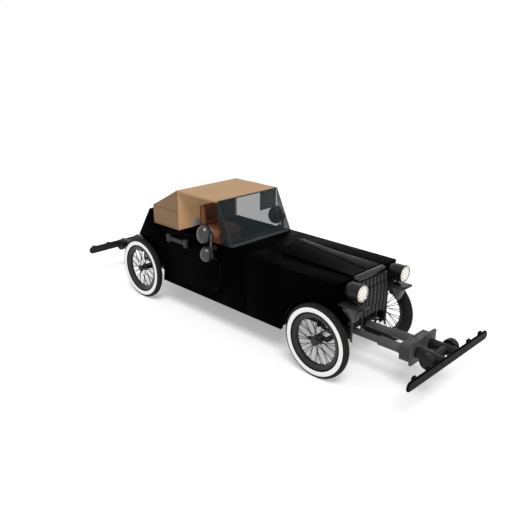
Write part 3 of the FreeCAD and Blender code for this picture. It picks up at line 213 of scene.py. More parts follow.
def build_paint_group():
    """Cloudy colour, fine dust on upward faces, road grime low down and a slight orange peel."""
    tree, given, result = new_group("Painted surface", [
        ("Colour", COLOUR, (0.5, 0.5, 0.5, 1)),
        ("Second Colour", COLOUR, (0.5, 0.5, 0.5, 1)),
        ("Cloud Scale", FLOAT, 6.0),
        ("Cloud Amount", FLOAT, 0.3),
        ("Grain Scale", FLOAT, 400.0),
        ("Dust Amount", FLOAT, 0.01),
        ("Roughness", FLOAT, 0.4),
        ("Roughness Spread", FLOAT, 0.1),
    ], SHADE)
    place = own_place(tree)
    share = remap(tree, noise(tree, place, given["Cloud Scale"], 5.0), 0.35, 0.68)
    patch = times(tree, share, given["Cloud Amount"])
    base = mix_colours(tree, patch, given["Colour"], given["Second Colour"])
    facing = split(tree, add_node(tree, "ShaderNodeNewGeometry").outputs["Normal"])
    upward = remap(tree, facing["Z"], 0.4, 1.0)
    low = remap(tree, split(tree, place)["Z"], 0.75, 0.2)
    dust = times(tree, times(tree, plus(tree, upward, low), given["Dust Amount"]), share)
    spread = times(tree, minus(tree, share, 0.5), given["Roughness Spread"])
    feed_all(tree, result, (mix_colours(tree, dust, base, ROAD_DUST), plus(tree, spread, given["Roughness"]),
                            noise(tree, place, given["Grain Scale"])))
    return tree


def build_weave_group():
    """Canvas threads that follow the piece's own map, with slubs and sun-bleached patches."""
    tree, given, result = new_group("Canvas weave", [
        ("Colour", COLOUR, (0.5, 0.4, 0.3, 1)),
        ("Shade Colour", COLOUR, (0.3, 0.2, 0.1, 1)),
        ("Threads per Metre", FLOAT, 420.0),
        ("Cross Hatch per Metre", FLOAT, 80.0),
        ("Cross Hatch Amount", FLOAT, 0.3),
        ("Patch Scale", FLOAT, 3.0),
    ], SHADE)
    grid = split(tree, add_node(tree, "ShaderNodeUVMap", uv_map="cloth").outputs[0])
    turn = times(tree, given["Threads per Metre"], 2 * math.pi)
    weave = times(tree, *[calculate(tree, "SINE", times(tree, grid[axis], turn)) for axis in ("X", "Y")])
    coarse = times(tree, given["Cross Hatch per Metre"], math.pi)
    lines = [remap(tree, wave, 0.0, 0.55, 1.0, 0.0) for wave in slant_waves(tree, grid["X"], grid["Y"], coarse)]
    hatch = times(tree, calculate(tree, "MAXIMUM", *lines), given["Cross Hatch Amount"])
    place = own_place(tree)
    slub = noise(tree, place, 160.0)
    shade = times(tree, remap(tree, weave, -1.0, 1.0), 0.3)
    shade = plus(tree, shade, times(tree, slub, 0.18))
    shade = plus(tree, shade, remap(tree, noise(tree, place, given["Patch Scale"], 4.0), 0.3, 0.7, 0.0, 0.16))
    shade = plus(tree, shade, hatch)
    feed_all(tree, result, (mix_colours(tree, shade, given["Colour"], given["Shade Colour"]),
                            remap(tree, slub, 0.2, 0.8, 0.86, 0.96), plus(tree, weave, slub)))
    return tree


def build_leather_group():
    """Pebbled leather with creases and a polish where it is rubbed."""
    tree, given, result = new_group("Leather grain", [
        ("Colour", COLOUR, (0.3, 0.15, 0.1, 1)),
        ("Crease Colour", COLOUR, (0.08, 0.03, 0.02, 1)),
        ("Pebble Scale", FLOAT, 260.0),
    ], SHADE)
    place = own_place(tree)
    pebble = add_node(tree, "ShaderNodeTexVoronoi", {"Vector": place, "Scale": given["Pebble Scale"]},
                      feature="DISTANCE_TO_EDGE")
    wear = noise(tree, place, 9.0, 6.0)
    edge = remap(tree, pebble.outputs["Distance"], 0.0, 0.12)
    crease = times(tree, minus(tree, 1.0, edge), 0.5)
    crease = plus(tree, crease, remap(tree, wear, 0.45, 0.8, 0.0, 0.5))
    feed_all(tree, result, (mix_colours(tree, crease, given["Colour"], given["Crease Colour"]),
                            remap(tree, wear, 0.3, 0.7, 0.34, 0.56), edge))
    return tree


def build_rubber_group():
    """Rubber with fine moulding marks and dried road dust."""
    tree, given, result = new_group("Moulded rubber", [
        ("Colour", COLOUR, (0.02, 0.02, 0.02, 1)),
        ("Dust Colour", COLOUR, (0.1, 0.09, 0.08, 1)),
        ("Dust Amount", FLOAT, 0.1),
    ], SHADE)
    place = own_place(tree)
    dust = noise(tree, place, 24.0, 6.0)
    amount = times(tree, remap(tree, dust, 0.4, 0.75), given["Dust Amount"])
    feed_all(tree, result, (mix_colours(tree, amount, given["Colour"], given["Dust Colour"]),
                            remap(tree, dust, 0.3, 0.7, 0.62, 0.82), noise(tree, place, 520.0)))
    return tree


def build_cut_glass_group():
    """A pattern of raised diamonds, as on a pressed lamp glass."""
    tree, given, result = new_group("Cut glass", [
        ("Diamond Size", FLOAT, 0.026),
        ("Lamp X", FLOAT, LAMP_X),
        ("Lamp Z", FLOAT, LAMP_Z),
        ("Clear Radius", FLOAT, 0.050),
        ("Rim Radius", FLOAT, 0.088),
    ], [("Mask", FLOAT), ("Rim", FLOAT), ("Height", FLOAT)])
    grid = split(tree, own_place(tree))
    pitch = calculate(tree, "DIVIDE", math.pi, given["Diamond Size"])
    both = times(tree, *slant_waves(tree, grid["X"], grid["Z"], pitch))
    aside = minus(tree, calculate(tree, "ABSOLUTE", grid["X"]), given["Lamp X"])
    above = minus(tree, grid["Z"], given["Lamp Z"])
    # Distance from the lamp's middle, which the lens uses for its painted shade toward the rim.
    away = calculate(tree, "SQRT", plus(tree, times(tree, aside, aside), times(tree, above, above)))
    feed_all(tree, result, (remap(tree, both, 0.10, 0.42),
                            remap(tree, away, given["Clear Radius"], given["Rim Radius"]), both))
    return tree


def start_material(name):
    """A material with its Principled shader and nothing else."""
    made = bpy.data.materials.new(name)
    made.use_nodes = True
    return made, made.node_tree, made.node_tree.nodes["Principled BSDF"]


def place_group(tree, name, builder, values):
    """A node of a shader group, which is built once."""
    return add_node(tree, "ShaderNodeGroup", values, node_tree=bpy.data.node_groups.get(name) or builder())


def raise_surface(tree, shader, height, strength, distance):
    bump = add_node(tree, "ShaderNodeBump", {"Height": height, "Strength": strength, "Distance": distance})
    feed(tree, shader.inputs["Normal"], bump.outputs[0])


def surface(name, group, builder, values, strength, distance, constants):
    """A material, made once: the group feeds colour, roughness and bump, constants sit on the shader."""
    found = bpy.data.materials.get(name)
    if found:
        return found
    made, tree, shader = start_material(name)
    shade = place_group(tree, group, builder, values)
    feed(tree, shader.inputs["Base Color"], shade.outputs["Colour"])
    feed(tree, shader.inputs["Roughness"], shade.outputs["Roughness"])
    raise_surface(tree, shader, shade.outputs["Height"], strength, distance)
    if "Emission Strength" in constants:
        feed(tree, shader.inputs["Emission Color"], shade.outputs["Colour"])
    for key, value in constants.items():
        shader.inputs[key].default_value = value
    return made


def solid(colour, share=1.0):
    return (colour[0] * share, colour[1] * share, colour[2] * share, 1.0)


def paint(name, colour, roughness, gloss=0.5, metallic=0.0, cloud=5.0, amount=0.5, dust=0.004, second=1.5,
          grain=350.0, bump=0.03):
    """A painted or bare metal finish."""
    return surface(name, "Painted surface", build_paint_group, {
        "Colour": solid(colour), "Second Colour": solid([min(1, c * second) for c in colour]),
        "Cloud Scale": cloud, "Cloud Amount": amount, "Grain Scale": grain, "Dust Amount": dust,
        "Roughness": roughness, "Roughness Spread": 0.12,
    }, bump, 0.001, {"Metallic": metallic, "Specular IOR Level": gloss})


# Name, colour or the user's colour that it takes, roughness, and what differs from paint's defaults
FINISHES = {
    "body": ("Black body enamel", "body", 0.38, {"gloss": 0.004, "dust": 0.0}),
    "hood": ("Black hood enamel", "hood", 0.32, {"gloss": 0.014, "dust": 0.0}),
    "chassis": ("Satin chassis paint", "chassis", 0.5, {"gloss": 0.06, "dust": 0.01}),
    "strut": ("Grey strut paint", "strut", 0.42, {"gloss": 0.15, "dust": 0.01}),
    "block": ("Light block paint", (0.060, 0.060, 0.062), 0.42, {"gloss": 0.15, "dust": 0.01}),
    "blade": ("Dark bumper enamel", "bumper", 0.34, {"gloss": 0.03, "dust": 0.001}),
    "rear_blade": ("Grey rear blade enamel", (0.018, 0.018, 0.019), 0.38, {"gloss": 0.2, "dust": 0.004}),
    "drum": ("Drum enamel", (0.007, 0.007, 0.008), 0.34, {"gloss": 0.16}),
    "grille": ("Grey grille paint", "grille", 0.36, {"gloss": 0.22, "second": 1.3}),
    "header": ("Header bar enamel", (0.003, 0.003, 0.0035), 0.26, {"gloss": 0.4, "amount": 0.1}),
    "lamp": ("Dark lamp enamel", "lamp", 0.26, {"gloss": 0.18}),
    "plate": ("Plate enamel", (0.020, 0.020, 0.022), 0.36, {"gloss": 0.35}),
    "pod": ("Pod enamel", (0.034, 0.034, 0.036), 0.32, {"gloss": 0.5}),
    # Painted shade: near black stands in for the shade inside the pods' dishes.
    "dish": ("Dish black", (0.002, 0.002, 0.002), 0.4, {"gloss": 0.05}),
    "mirror": ("Gloss mirror enamel", "mirror", 0.27, {"gloss": 0.7, "amount": 0.2}),
    "pull": ("Satin pull paint", "pull", 0.42, {"gloss": 0.2}),
    "rim": ("Grey rim enamel", (0.008, 0.008, 0.009), 0.34, {"gloss": 0.35}),
    "spring": ("Oiled spring steel", (0.05, 0.05, 0.052), 0.5,
               {"metallic": 0.7, "gloss": 0.3, "dust": 0.06, "grain": 900.0}),
    "nickel": ("Polished nickel", (0.75, 0.73, 0.69), 0.16, {"metallic": 1.0, "second": 0.8, "amount": 0.3}),
    "screws": ("Blackened screws", (0.03, 0.03, 0.032), 0.4, {"metallic": 0.5, "gloss": 0.3}),
    "engine": ("Painted grey iron", (0.06, 0.065, 0.062), 0.6,
               {"gloss": 0.2, "dust": 0.08, "cloud": 14.0, "bump": 0.15}),
    "pipe": ("Heat-stained steel", (0.11, 0.085, 0.065), 0.55,
             {"metallic": 0.6, "second": 0.5, "amount": 0.8, "cloud": 9.0}),
    # Painted shade: this dark teal stands in for the shaded cabin as seen through tinted glass.
    "cabin": ("Dark cabin trim", (0.010, 0.017, 0.019), 0.7, {"gloss": 0.1}),
    # Painted reflection: the grey stands in for the pale sheen that the windscreen lays over the black cowl
    # top.
    "ledge": ("Grey dash ledge", (0.24, 0.26, 0.265), 0.5, {"gloss": 0.2}),
    # Painted light: the pale blue-grey stands in for bright daylight seen through the pane, lifted out of the
    # wall's shade.
    "pane": ("Milky rear pane", (0.80, 0.86, 0.88), 0.5, {"gloss": 0.2}),
    "irons": ("Grey top irons", (0.10, 0.12, 0.125), 0.45, {"gloss": 0.3}),
    "thread": ("Waxed thread", (0.10, 0.062, 0.036), 0.7, {"gloss": 0.2, "grain": 900.0}),
}


def finish(key):
    """The material of a finish in the table."""
    name, colour, roughness, rest = FINISHES[key]
    return paint(name, getattr(colours(), colour) if isinstance(colour, str) else colour, roughness, **rest)


def canvas_material(name="Tan canvas", share=1.0, hatch=0.12, glow=0.0):
    """Tan canvas; glow is painted light: the cloth gives off light in its own colour, so it looks lit where it
    lies in shade.
    """
    return surface(name, "Canvas weave", build_weave_group, {
        "Colour": solid(colours().canvas, share), "Shade Colour": solid(colours().canvas, 0.5 * share),
        "Cross Hatch Amount": hatch,
    }, 0.35, 0.0012, {"Specular IOR Level": 0.1, "Sheen Weight": 0.15, "Sheen Roughness": 0.5,
                      "Emission Strength": glow})


# Painted shade: a darker copy of the tan canvas, at about half the roof's brightness, for the side walls and
# bindings that get less light.
def shaded_side_canvas():
    return canvas_material("Tan side canvas", 0.54, 0.34)


def leather_material(name="Brown seat leather", share=1.0):
    return surface(name, "Leather grain", build_leather_group, {
        "Colour": solid(colours().leather, share), "Crease Colour": solid(colours().leather, 0.4 * share),
    }, 0.25, 0.0008, {"Specular IOR Level": 0.35})


def rubber_material(name="Black tyre rubber", colour=None, dust=0.12):
    return surface(name, "Moulded rubber", build_rubber_group, {
        "Colour": solid(colours().rubber if colour is None else colour), "Dust Colour": (0.09, 0.08, 0.07, 1),
        "Dust Amount": dust,
    }, 0.12, 0.0006, {"Specular IOR Level": 0.15})


def glass_material(name, colour, cover, roughness=0.04):
    """Tinted glass with faint smears; cover is the share of light that one face stops."""
    return surface(name, "Painted surface", build_paint_group, {
        "Colour": solid(colour), "Second Colour": solid(colour, 1.3), "Cloud Scale": 3.0,
        "Cloud Amount": 0.6, "Grain Scale": 30.0, "Dust Amount": 0.0,
        "Roughness": roughness, "Roughness Spread": 0.02,
    }, 0.01, 0.001, {"Alpha": cover, "Specular IOR Level": 0.12})


def lens_material():
    """Pressed glass: bright cells between darker lines, both browner toward the rim; the bright cells and the
    glow are painted reflection and light, the browner rim is painted shade.
    """
    made, tree, shader = start_material("Pressed lamp glass")
    cut = place_group(tree, "Cut glass", build_cut_glass_group, {"Diamond Size": 0.034})
    # Painted reflection and shade: near-white cells stand in for the lit reflector behind the glass, the brown
    # toward the rim for its shade.
    bright = mix_colours(tree, cut.outputs["Rim"], (1.0, 0.99, 0.97, 1), (0.62, 0.55, 0.46, 1))
    lines = mix_colours(tree, cut.outputs["Rim"], (0.40, 0.33, 0.25, 1), (0.05, 0.035, 0.022, 1))
    colour = mix_colours(tree, cut.outputs["Mask"], lines, bright)
    feed(tree, shader.inputs["Base Color"], colour)
    # Painted light: the lens glows in its own colours though the lamp is not lit.
    feed(tree, shader.inputs["Emission Color"], colour)
    shader.inputs["Emission Strength"].default_value = 0.3
    shader.inputs["Roughness"].default_value = 0.12
    raise_surface(tree, shader, cut.outputs["Height"], 0.6, 0.003)
    return made


# Meshes

def basis(axis):
    """An axis of length one and two directions square to it."""
    axis = Vector(axis).normalized()
    helper = Vector((0, 0, 1)) if abs(axis.z) < 0.9 else Vector((0, 1, 0))
    first = axis.cross(helper).normalized()
    return axis, first, axis.cross(first)


def ring_of(bm, middle, first, second, radius, steps):
    """Vertices evenly round a point, in the plane of two directions."""
    ring = []
    for step in range(steps):
        angle = 2 * math.pi * step / steps
        ring.append(bm.verts.new(middle + (first * math.cos(angle) + second * math.sin(angle)) * radius))
    return ring


def skin(bm, rings):
    """Faces from each ring to the next; a ring of one vertex is a point."""
    for here, there in zip(rings, rings[1:]):
        steps = max(len(here), len(there))
        for step in range(steps):
            after = step + 1
            corners = list(dict.fromkeys((here[step % len(here)], there[step % len(there)],
                                          there[after % len(there)], here[after % len(here)])))
            if len(corners) > 2:
                bm.faces.new(corners)


def turn(bm, profile, centre, axis, steps=48, closed=False):
    """Turns a profile of (distance, radius) round an axis."""
    axis, first, second = basis(axis)
    rings = []
    for along, radius in profile:
        middle = Vector(centre) + axis * along
        if radius < 1e-6:
            rings.append([bm.verts.new(middle)])
        else:
            rings.append(ring_of(bm, middle, first, second, radius, steps))
    skin(bm, rings + rings[:1] if closed else rings)


def slab(bm, low, high, radius=0.0015, segments=2):
    """A rounded block between two opposite corners."""
    low, high = (Vector([choose(pair) for pair in zip(low, high)]) for choose in (min, max))
    made = bmesh.ops.create_cube(bm, size=1.0)["verts"]
    size = high - low
    for vert in made:
        vert.co = low + Vector([(place + 0.5) * length for place, length in zip(vert.co, size)])
    edges = list(set(edge for vert in made for edge in vert.link_edges))
    bmesh.ops.bevel(bm, geom=edges, offset=min(radius, min(size) * 0.45), segments=segments,
                    affect="EDGES", profile=0.5)


def tube(bm, points, radius, steps=10, closed=False):
    """A round tube along a row of points."""
    points = [Vector(point) for point in points]
    count = len(points)
    rings = []
    first = None
    for index, point in enumerate(points):
        before = points[index - 1] if index or closed else point
        after = points[(index + 1) % count] if index < count - 1 or closed else point
        axis = (after - before).normalized()
        if first is None:
            axis, first, second = basis(axis)
        else:
            first = (first - axis * first.dot(axis)).normalized()
            second = axis.cross(first)
        rings.append(ring_of(bm, point, first, second, radius, steps))
    if closed:
        shift = min(range(steps), key=lambda k: (rings[-1][0].co - rings[0][k].co).length)
        rings.append(rings[0][shift:] + rings[0][:shift])
    skin(bm, rings)
    if not closed:
        for ring in (rings[0], rings[-1]):
            bm.faces.new(ring)


def mesh_object(name, bm, materials, recalculate=True):
    """An object from a mesh under construction, with its faces outwards."""
    if recalculate:
        bmesh.ops.recalc_face_normals(bm, faces=bm.faces)
    mesh = bpy.data.meshes.new(name)
    bm.to_mesh(mesh)
    bm.free()
    for material in materials:
        mesh.materials.append(material)
    made = bpy.data.objects.new(name, mesh)
    bpy.context.scene.collection.objects.link(made)
    return made


def bake(piece):
    """Makes the piece's modifiers part of its mesh, and returns the piece."""
    bpy.context.view_layer.update()
    graph = bpy.context.evaluated_depsgraph_get()
    mesh = bpy.data.meshes.new_from_object(piece.evaluated_get(graph), preserve_all_data_layers=True,
                                           depsgraph=graph)
    piece.modifiers.clear()
    old = piece.data
    piece.data = mesh
    mesh.name = piece.name
    bpy.data.meshes.remove(old)
    return piece


def smooth(piece, angle):
    """Smooth shading with sharp edges above an angle in degrees."""
    mesh = piece.data
    mesh.polygons.foreach_set("use_smooth", [True] * len(mesh.polygons))
    mesh.set_sharp_from_angle(angle=math.radians(angle))
    mesh.update()


def settle(piece, body, slot, replaces=(), angle=35.0):
    """Last steps for a piece: shading, its body and the nodes it stands for; its slot is not used."""
    smooth(piece, angle)
    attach(piece, body)
    if replaces:
        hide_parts(*replaces)
    return piece


def fit(name, bm, coat, *rest):
    """A piece with one material or finish, settled with the rest: body, slot (not used), nodes it stands for,
    angle.
    """
    piece = mesh_object(name, bm, [finish(coat) if isinstance(coat, str) else coat])
    return settle(piece, *rest)


def repaint(node, material):
    """Gives a CAD node that stays a better material."""
    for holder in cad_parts[node].material_slots:
        holder.material = material


def node_copy(node):
    """The CAD node's shape with its doubles merged and its flat faces made whole."""
    bm = bmesh.new()
    bm.from_mesh(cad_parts[node].data)
    bmesh.ops.remove_doubles(bm, verts=bm.verts, dist=0.00002)
    bmesh.ops.dissolve_limit(bm, angle_limit=math.radians(0.6), verts=bm.verts, edges=bm.edges)
    return bm


def dress(node, body, slot, coat, width):
    """A copy of a CAD node with its hard edges rounded, in place of the node."""
    piece = mesh_object(node + "_dressed", node_copy(node), [finish(coat)], recalculate=False)
    if width:
        round_off = piece.modifiers.new("Round edges", "BEVEL")
        round_off.width = width
        round_off.segments = 2
        round_off.limit_method = "ANGLE"
        round_off.angle_limit = math.radians(40)
        bake(piece)
    return settle(piece, body, slot, (node,))


# Geometry node trees

def point_row(tree, count, position):
    """Points whose places come from their index."""
    return add_node(tree, "GeometryNodePoints", {"Count": count, "Position": position}).outputs[0]


def combine(tree, x, y, z):
    return add_node(tree, "ShaderNodeCombineXYZ", {0: x, 1: y, 2: z}).outputs[0]


def place_copies(tree, points, instance, rotation=None):
    """Copies of a shape on points."""
    values = {"Points": points, "Instance": instance}
    if rotation is not None:
        values["Rotation"] = rotation
    return add_node(tree, "GeometryNodeInstanceOnPoints", values).outputs[0]


def join(tree, *parts):
    made = add_node(tree, "GeometryNodeJoinGeometry")
    for part in parts:
        tree.links.new(part, made.inputs[0])
    return made.outputs[0]


def sweep(tree, line, profile):
    """A solid along a line, closed at its ends."""
    values = {"Curve": line.outputs[0], "Profile Curve": profile.outputs[0], "Fill Caps": True}
    return add_node(tree, "GeometryNodeCurveToMesh", values).outputs[0]


def round_bar(tree, start, end, radius):
    """A round bar between two points."""
    line = add_node(tree, "GeometryNodeCurvePrimitiveLine", {"Start": start, "End": end})
    ring = add_node(tree, "GeometryNodeCurvePrimitiveCircle", {"Resolution": 8, "Radius": radius})
    return sweep(tree, line, ring)


def set_mode(made, mode):
    """Sets a node's mode, which is a socket in some versions and a setting in others."""
    socket = made.inputs.get("Mode")
    if socket is None:
        made.mode = mode.upper()
    else:
        socket.default_value = mode


def index_of(tree):
    return add_node(tree, "GeometryNodeInputIndex").outputs[0]


def new_copies_tree(name, inputs):
    """A geometry tree that is given a mesh, its own values and the material of what it adds."""
    sockets = [("Geometry", GEOMETRY, None), *inputs, ("Material", MATERIAL, None)]
    return new_group(name, sockets, [("Geometry", GEOMETRY)], "GeometryNodeTree")


def finish_tree(tree, result, parts, material, base=None):
    """Joins the copies, makes them real, gives them a material and adds the base mesh."""
    real = add_node(tree, "GeometryNodeRealizeInstances", {0: join(tree, *parts)}).outputs[0]
    coat = add_node(tree, "GeometryNodeSetMaterial", {"Geometry": real, "Material": material}).outputs[0]
    feed(tree, result[0], coat if base is None else join(tree, coat, base))


GEOMETRY = "NodeSocketGeometry"
VECTOR = "NodeSocketVector"
WHOLE = "NodeSocketInt"
MATERIAL = "NodeSocketMaterial"


def build_spoke_tree():
    """Pairs of spokes from both hub ends to the rim, with a nipple at each rim end."""
    tree, given, result = new_copies_tree("Wheel spokes", [
        ("Centre", VECTOR, None),
        ("Pairs", WHOLE, 14),
        ("Hub Radius", FLOAT, 0.038),
        ("Rim Radius", FLOAT, 0.256),
        ("Outer End", FLOAT, -0.034),
        ("Inner End", FLOAT, 0.034),
        ("Spoke Radius", FLOAT, 0.0026),
        ("Lean", FLOAT, 0.16),
    ])
    index = index_of(tree)
    half_count = times(tree, given["Pairs"], 0.5)
    step = calculate(tree, "DIVIDE", 4 * math.pi, given["Pairs"])
    rim = given["Rim Radius"]
    families = []
    for hub_end, offset in (("Outer End", 0.0), ("Inner End", 0.5)):
        for side in (-1, 1):
            lean = times(tree, given["Lean"], side)
            start = combine(tree, given[hub_end], 0.0, given["Hub Radius"])
            aside, upward = [times(tree, rim, calculate(tree, part, lean)) for part in ("SINE", "COSINE")]
            end = combine(tree, 0.0, aside, upward)
            blend = add_node(tree, "ShaderNodeMix", {0: 0.91, 4: start, 5: end}, data_type="VECTOR")
            spoke = round_bar(tree, start, end, given["Spoke Radius"])
            nipple = round_bar(tree, blend.outputs[1], end, times(tree, given["Spoke Radius"], 1.9))
            angle = times(tree, plus(tree, index, offset + 0.06 * side), step)
            points = point_row(tree, half_count, given["Centre"])
            pair = join(tree, spoke, nipple)
            families.append(place_copies(tree, points, pair, combine(tree, angle, 0.0, 0.0)))
    finish_tree(tree, result, families, given["Material"], given["Geometry"])
    return tree


def build_tread_tree():
    """Rows of blocks round the tyre's crown."""
    tree, given, result = new_copies_tree("Tyre tread", [
        ("Centre", VECTOR, None),
        ("Blocks", WHOLE, 84),
        ("Crown Radius", FLOAT, 0.3985),
        ("Block Height", FLOAT, 0.005),
        ("Block Gap", FLOAT, 0.26),
        ("Row Width", FLOAT, 0.013),
    ])
    index = index_of(tree)
    step = calculate(tree, "DIVIDE", 2 * math.pi, given["Blocks"])
    length = times(tree, times(tree, step, given["Crown Radius"]), minus(tree, 1.0, given["Block Gap"]))
    spacing = times(tree, given["Row Width"], 1.3)
    rows = []
    for row, drop in ((-1, 0.0022), (0, 0.0), (1, 0.0022)):
        size = combine(tree, given["Row Width"], length, given["Block Height"])
        radius = minus(tree, given["Crown Radius"], drop)
        shift = add_node(tree, "GeometryNodeTransform", {
            "Geometry": add_node(tree, "GeometryNodeMeshCube", {"Size": size}).outputs[0],
            "Translation": combine(tree, times(tree, spacing, row), 0.0, radius)})
        angle = times(tree, plus(tree, index, 0.5 * abs(row)), step)
        points = point_row(tree, given["Blocks"], given["Centre"])
        rows.append(place_copies(tree, points, shift.outputs[0], combine(tree, angle, 0.0, 0.0)))
    finish_tree(tree, result, rows, given["Material"], given["Geometry"])
    return tree


def build_rib_tree():
    """Upright ribs with rounded corners, side by side."""
    tree, given, result = new_copies_tree("Grille ribs", [
        ("Foot", VECTOR, None),
        ("Ribs", WHOLE, 11),
        ("Pitch", FLOAT, 0.053),
        ("Rib Width", FLOAT, 0.034),
        ("Rib Depth", FLOAT, 0.034),
        ("Rib Height", FLOAT, 0.2),
    ])
    middle = times(tree, minus(tree, given["Ribs"], 1), 0.5)
    x = times(tree, minus(tree, index_of(tree), middle), given["Pitch"])
    shape = add_node(tree, "GeometryNodeCurvePrimitiveQuadrilateral",
                     {"Width": given["Rib Width"], "Height": given["Rib Depth"]})
    fillet = add_node(tree, "GeometryNodeFilletCurve")
    set_mode(fillet, "Poly")
    feed(tree, fillet.inputs["Curve"], shape.outputs[0])
    fillet.inputs["Count"].default_value = 4
    feed(tree, fillet.inputs["Radius"], times(tree, given["Rib Width"], 0.3))
    top = combine(tree, 0.0, 0.0, given["Rib Height"])
    line = add_node(tree, "GeometryNodeCurvePrimitiveLine", {"End": top})
    shift = add_node(tree, "ShaderNodeVectorMath", {0: combine(tree, x, 0.0, 0.0), 1: given["Foot"]},
                     operation="ADD")
    points = point_row(tree, given["Ribs"], shift.outputs[0])
    finish_tree(tree, result, [place_copies(tree, points, sweep(tree, line, fillet))],
                given["Material"], given["Geometry"])
    return tree


def build_bolt_tree():
    """A hexagon head on a washer at each vertex, turned to the vertex's facing direction."""
    tree, given, result = new_copies_tree("Bolt heads", [
        ("Head Radius", FLOAT, 0.006),
        ("Head Height", FLOAT, 0.004),
        ("Seed", WHOLE, 7),
    ])
    parts = [add_node(tree, "GeometryNodeMeshCylinder", {
        "Vertices": sides, "Radius": times(tree, given["Head Radius"], width),
        "Depth": times(tree, given["Head Height"], 2 * height)}).outputs[0]
        for sides, width, height in ((6, 1.0, 1.0), (20, 1.35, 0.3))]
    facing = add_node(tree, "GeometryNodeInputNamedAttribute", {"Name": "facing"}, data_type="FLOAT_VECTOR")
    align = add_node(tree, "FunctionNodeAlignRotationToVector", {"Vector": facing.outputs[0]}, axis="Z")
    chance = add_node(tree, "FunctionNodeRandomValue", {3: math.pi, "Seed": given["Seed"]}, data_type="FLOAT")
    spin = add_node(tree, "FunctionNodeRotateRotation",
                    {0: align.outputs[0], 1: combine(tree, 0.0, 0.0, chance.outputs[1])},
                    rotation_space="LOCAL")
    copies = place_copies(tree, given["Geometry"], join(tree, *parts), spin.outputs[0])
    finish_tree(tree, result, [copies], given["Material"])
    return tree


def build_stitch_tree():
    """Short rounded stitches along the edges of a mesh."""
    tree, given, result = new_copies_tree("Stitches", [
        ("Spacing", FLOAT, 0.012),
        ("Stitch Length", FLOAT, 0.008),
        ("Thread Radius", FLOAT, 0.0011),
    ])
    curve = add_node(tree, "GeometryNodeMeshToCurve", {0: given["Geometry"]})
    even = add_node(tree, "GeometryNodeResampleCurve")
    set_mode(even, "Length")
    feed(tree, even.inputs["Curve"], curve.outputs[0])
    feed(tree, even.inputs["Length"], given["Spacing"])
    bead = add_node(tree, "GeometryNodeMeshUVSphere", {"Segments": 6, "Rings": 4, "Radius": 1.0})
    half = times(tree, given["Stitch Length"], 0.5)
    shape = add_node(tree, "GeometryNodeTransform", {
        "Geometry": bead.outputs[0],
        "Scale": combine(tree, given["Thread Radius"], given["Thread Radius"], half)})
    tangent = add_node(tree, "GeometryNodeInputTangent").outputs[0]
    align = add_node(tree, "FunctionNodeAlignRotationToVector", {"Vector": tangent}, axis="Z")
    copies = place_copies(tree, even.outputs[0], shape.outputs[0], align.outputs[0])
    finish_tree(tree, result, [copies], given["Material"])
    return tree


def grow(piece, name, builder, values):
    """Runs a geometry node tree on a piece and keeps the plain mesh."""
    tree = bpy.data.node_groups.get(name) or builder()
    modifier = piece.modifiers.new(name, "NODES")
    modifier.node_group = tree
    for item in tree.interface.items_tree:
        if item.item_type == "SOCKET" and item.in_out == "INPUT" and item.name in values:
            modifier[item.identifier] = values[item.name]
    return bake(piece)


def bolt_heads(name, places, body, slot, radius):
    """Bolt heads at (place, direction) pairs."""
    bm = bmesh.new()
    layer = bm.verts.layers.float_vector.new("facing")
    for place, direction in places:
        vert = bm.verts.new(place)
        vert[layer] = Vector(direction)
    piece = mesh_object(name, bm, [], recalculate=False)
    grow(piece, "Bolt heads", build_bolt_tree, {
        "Head Radius": radius, "Head Height": radius * 0.65, "Material": finish("screws")})
    return settle(piece, body, slot, angle=30)


def stitches(name, rows, body, slot, radius):
    """Stitches along rows of points."""
    bm = bmesh.new()
    for row in rows:
        verts = [bm.verts.new(point) for point in row]
        for here, there in zip(verts, verts[1:]):
            bm.edges.new((here, there))
    piece = mesh_object(name, bm, [], recalculate=False)
    grow(piece, "Stitches", build_stitch_tree, {
        "Spacing": sizes().stitch_spacing, "Stitch Length": sizes().stitch_length,
        "Thread Radius": radius, "Material": finish("thread")})
    return settle(piece, body, slot, angle=60)


# Wheels

def tyre_piece(end, y, side, sign):
    """Rounded tyre with a white ring on its outer side and a blocked tread."""
    centre = Vector((WHEEL_X * sign, y, WHEEL_Z))
    ring_low, ring_high = sizes().white_ring_inner, sizes().white_ring_outer
    crown = [(0.0, 0.3975), (0.013, 0.3970), (0.0235, 0.3935), (0.0310, 0.3870), (0.0365, 0.3760)]
    outer = crown + [(0.0393, ring_high + 0.003), (0.0408, ring_high), (0.0415, 0.350), (0.0413, 0.334),
                     (0.0398, 0.318), (0.0365, 0.306), (0.0325, ring_low), (0.0245, 0.2962)]
    inner = crown + [(0.0398, 0.362), (0.0412, 0.345), (0.0405, 0.328), (0.0375, 0.310), (0.0325, 0.301),
                     (0.0245, 0.2962)]
    profile = [(-along, radius) for along, radius in inner[::-1]] + outer[1:]
    bm = bmesh.new()
    turn(bm, profile, centre, (sign, 0, 0), steps=128, closed=True)
    for face in bm.faces:
        middle = face.calc_center_median() - centre
        radius = math.hypot(middle.y, middle.z)
        if middle.x * sign > 0.030 and ring_low - 0.001 < radius < ring_high:
            face.material_index = 1
    name = "tyre_%s_%s" % (end, side)
    white = rubber_material("White ring rubber", colours().white_ring, 0.02)
    piece = mesh_object(name + "_rubber", bm, [rubber_material(), white])
    grow(piece, "Tyre tread", build_tread_tree, {
        "Centre": centre, "Blocks": sizes().tread_blocks, "Crown Radius": 0.3983, "Block Height": 0.0052,
        "Block Gap": 0.26, "Row Width": 0.0125, "Material": rubber_material()})
    return settle(piece, "road_wheel_%s_%s" % (end, side), "tyre", (name,), 40)


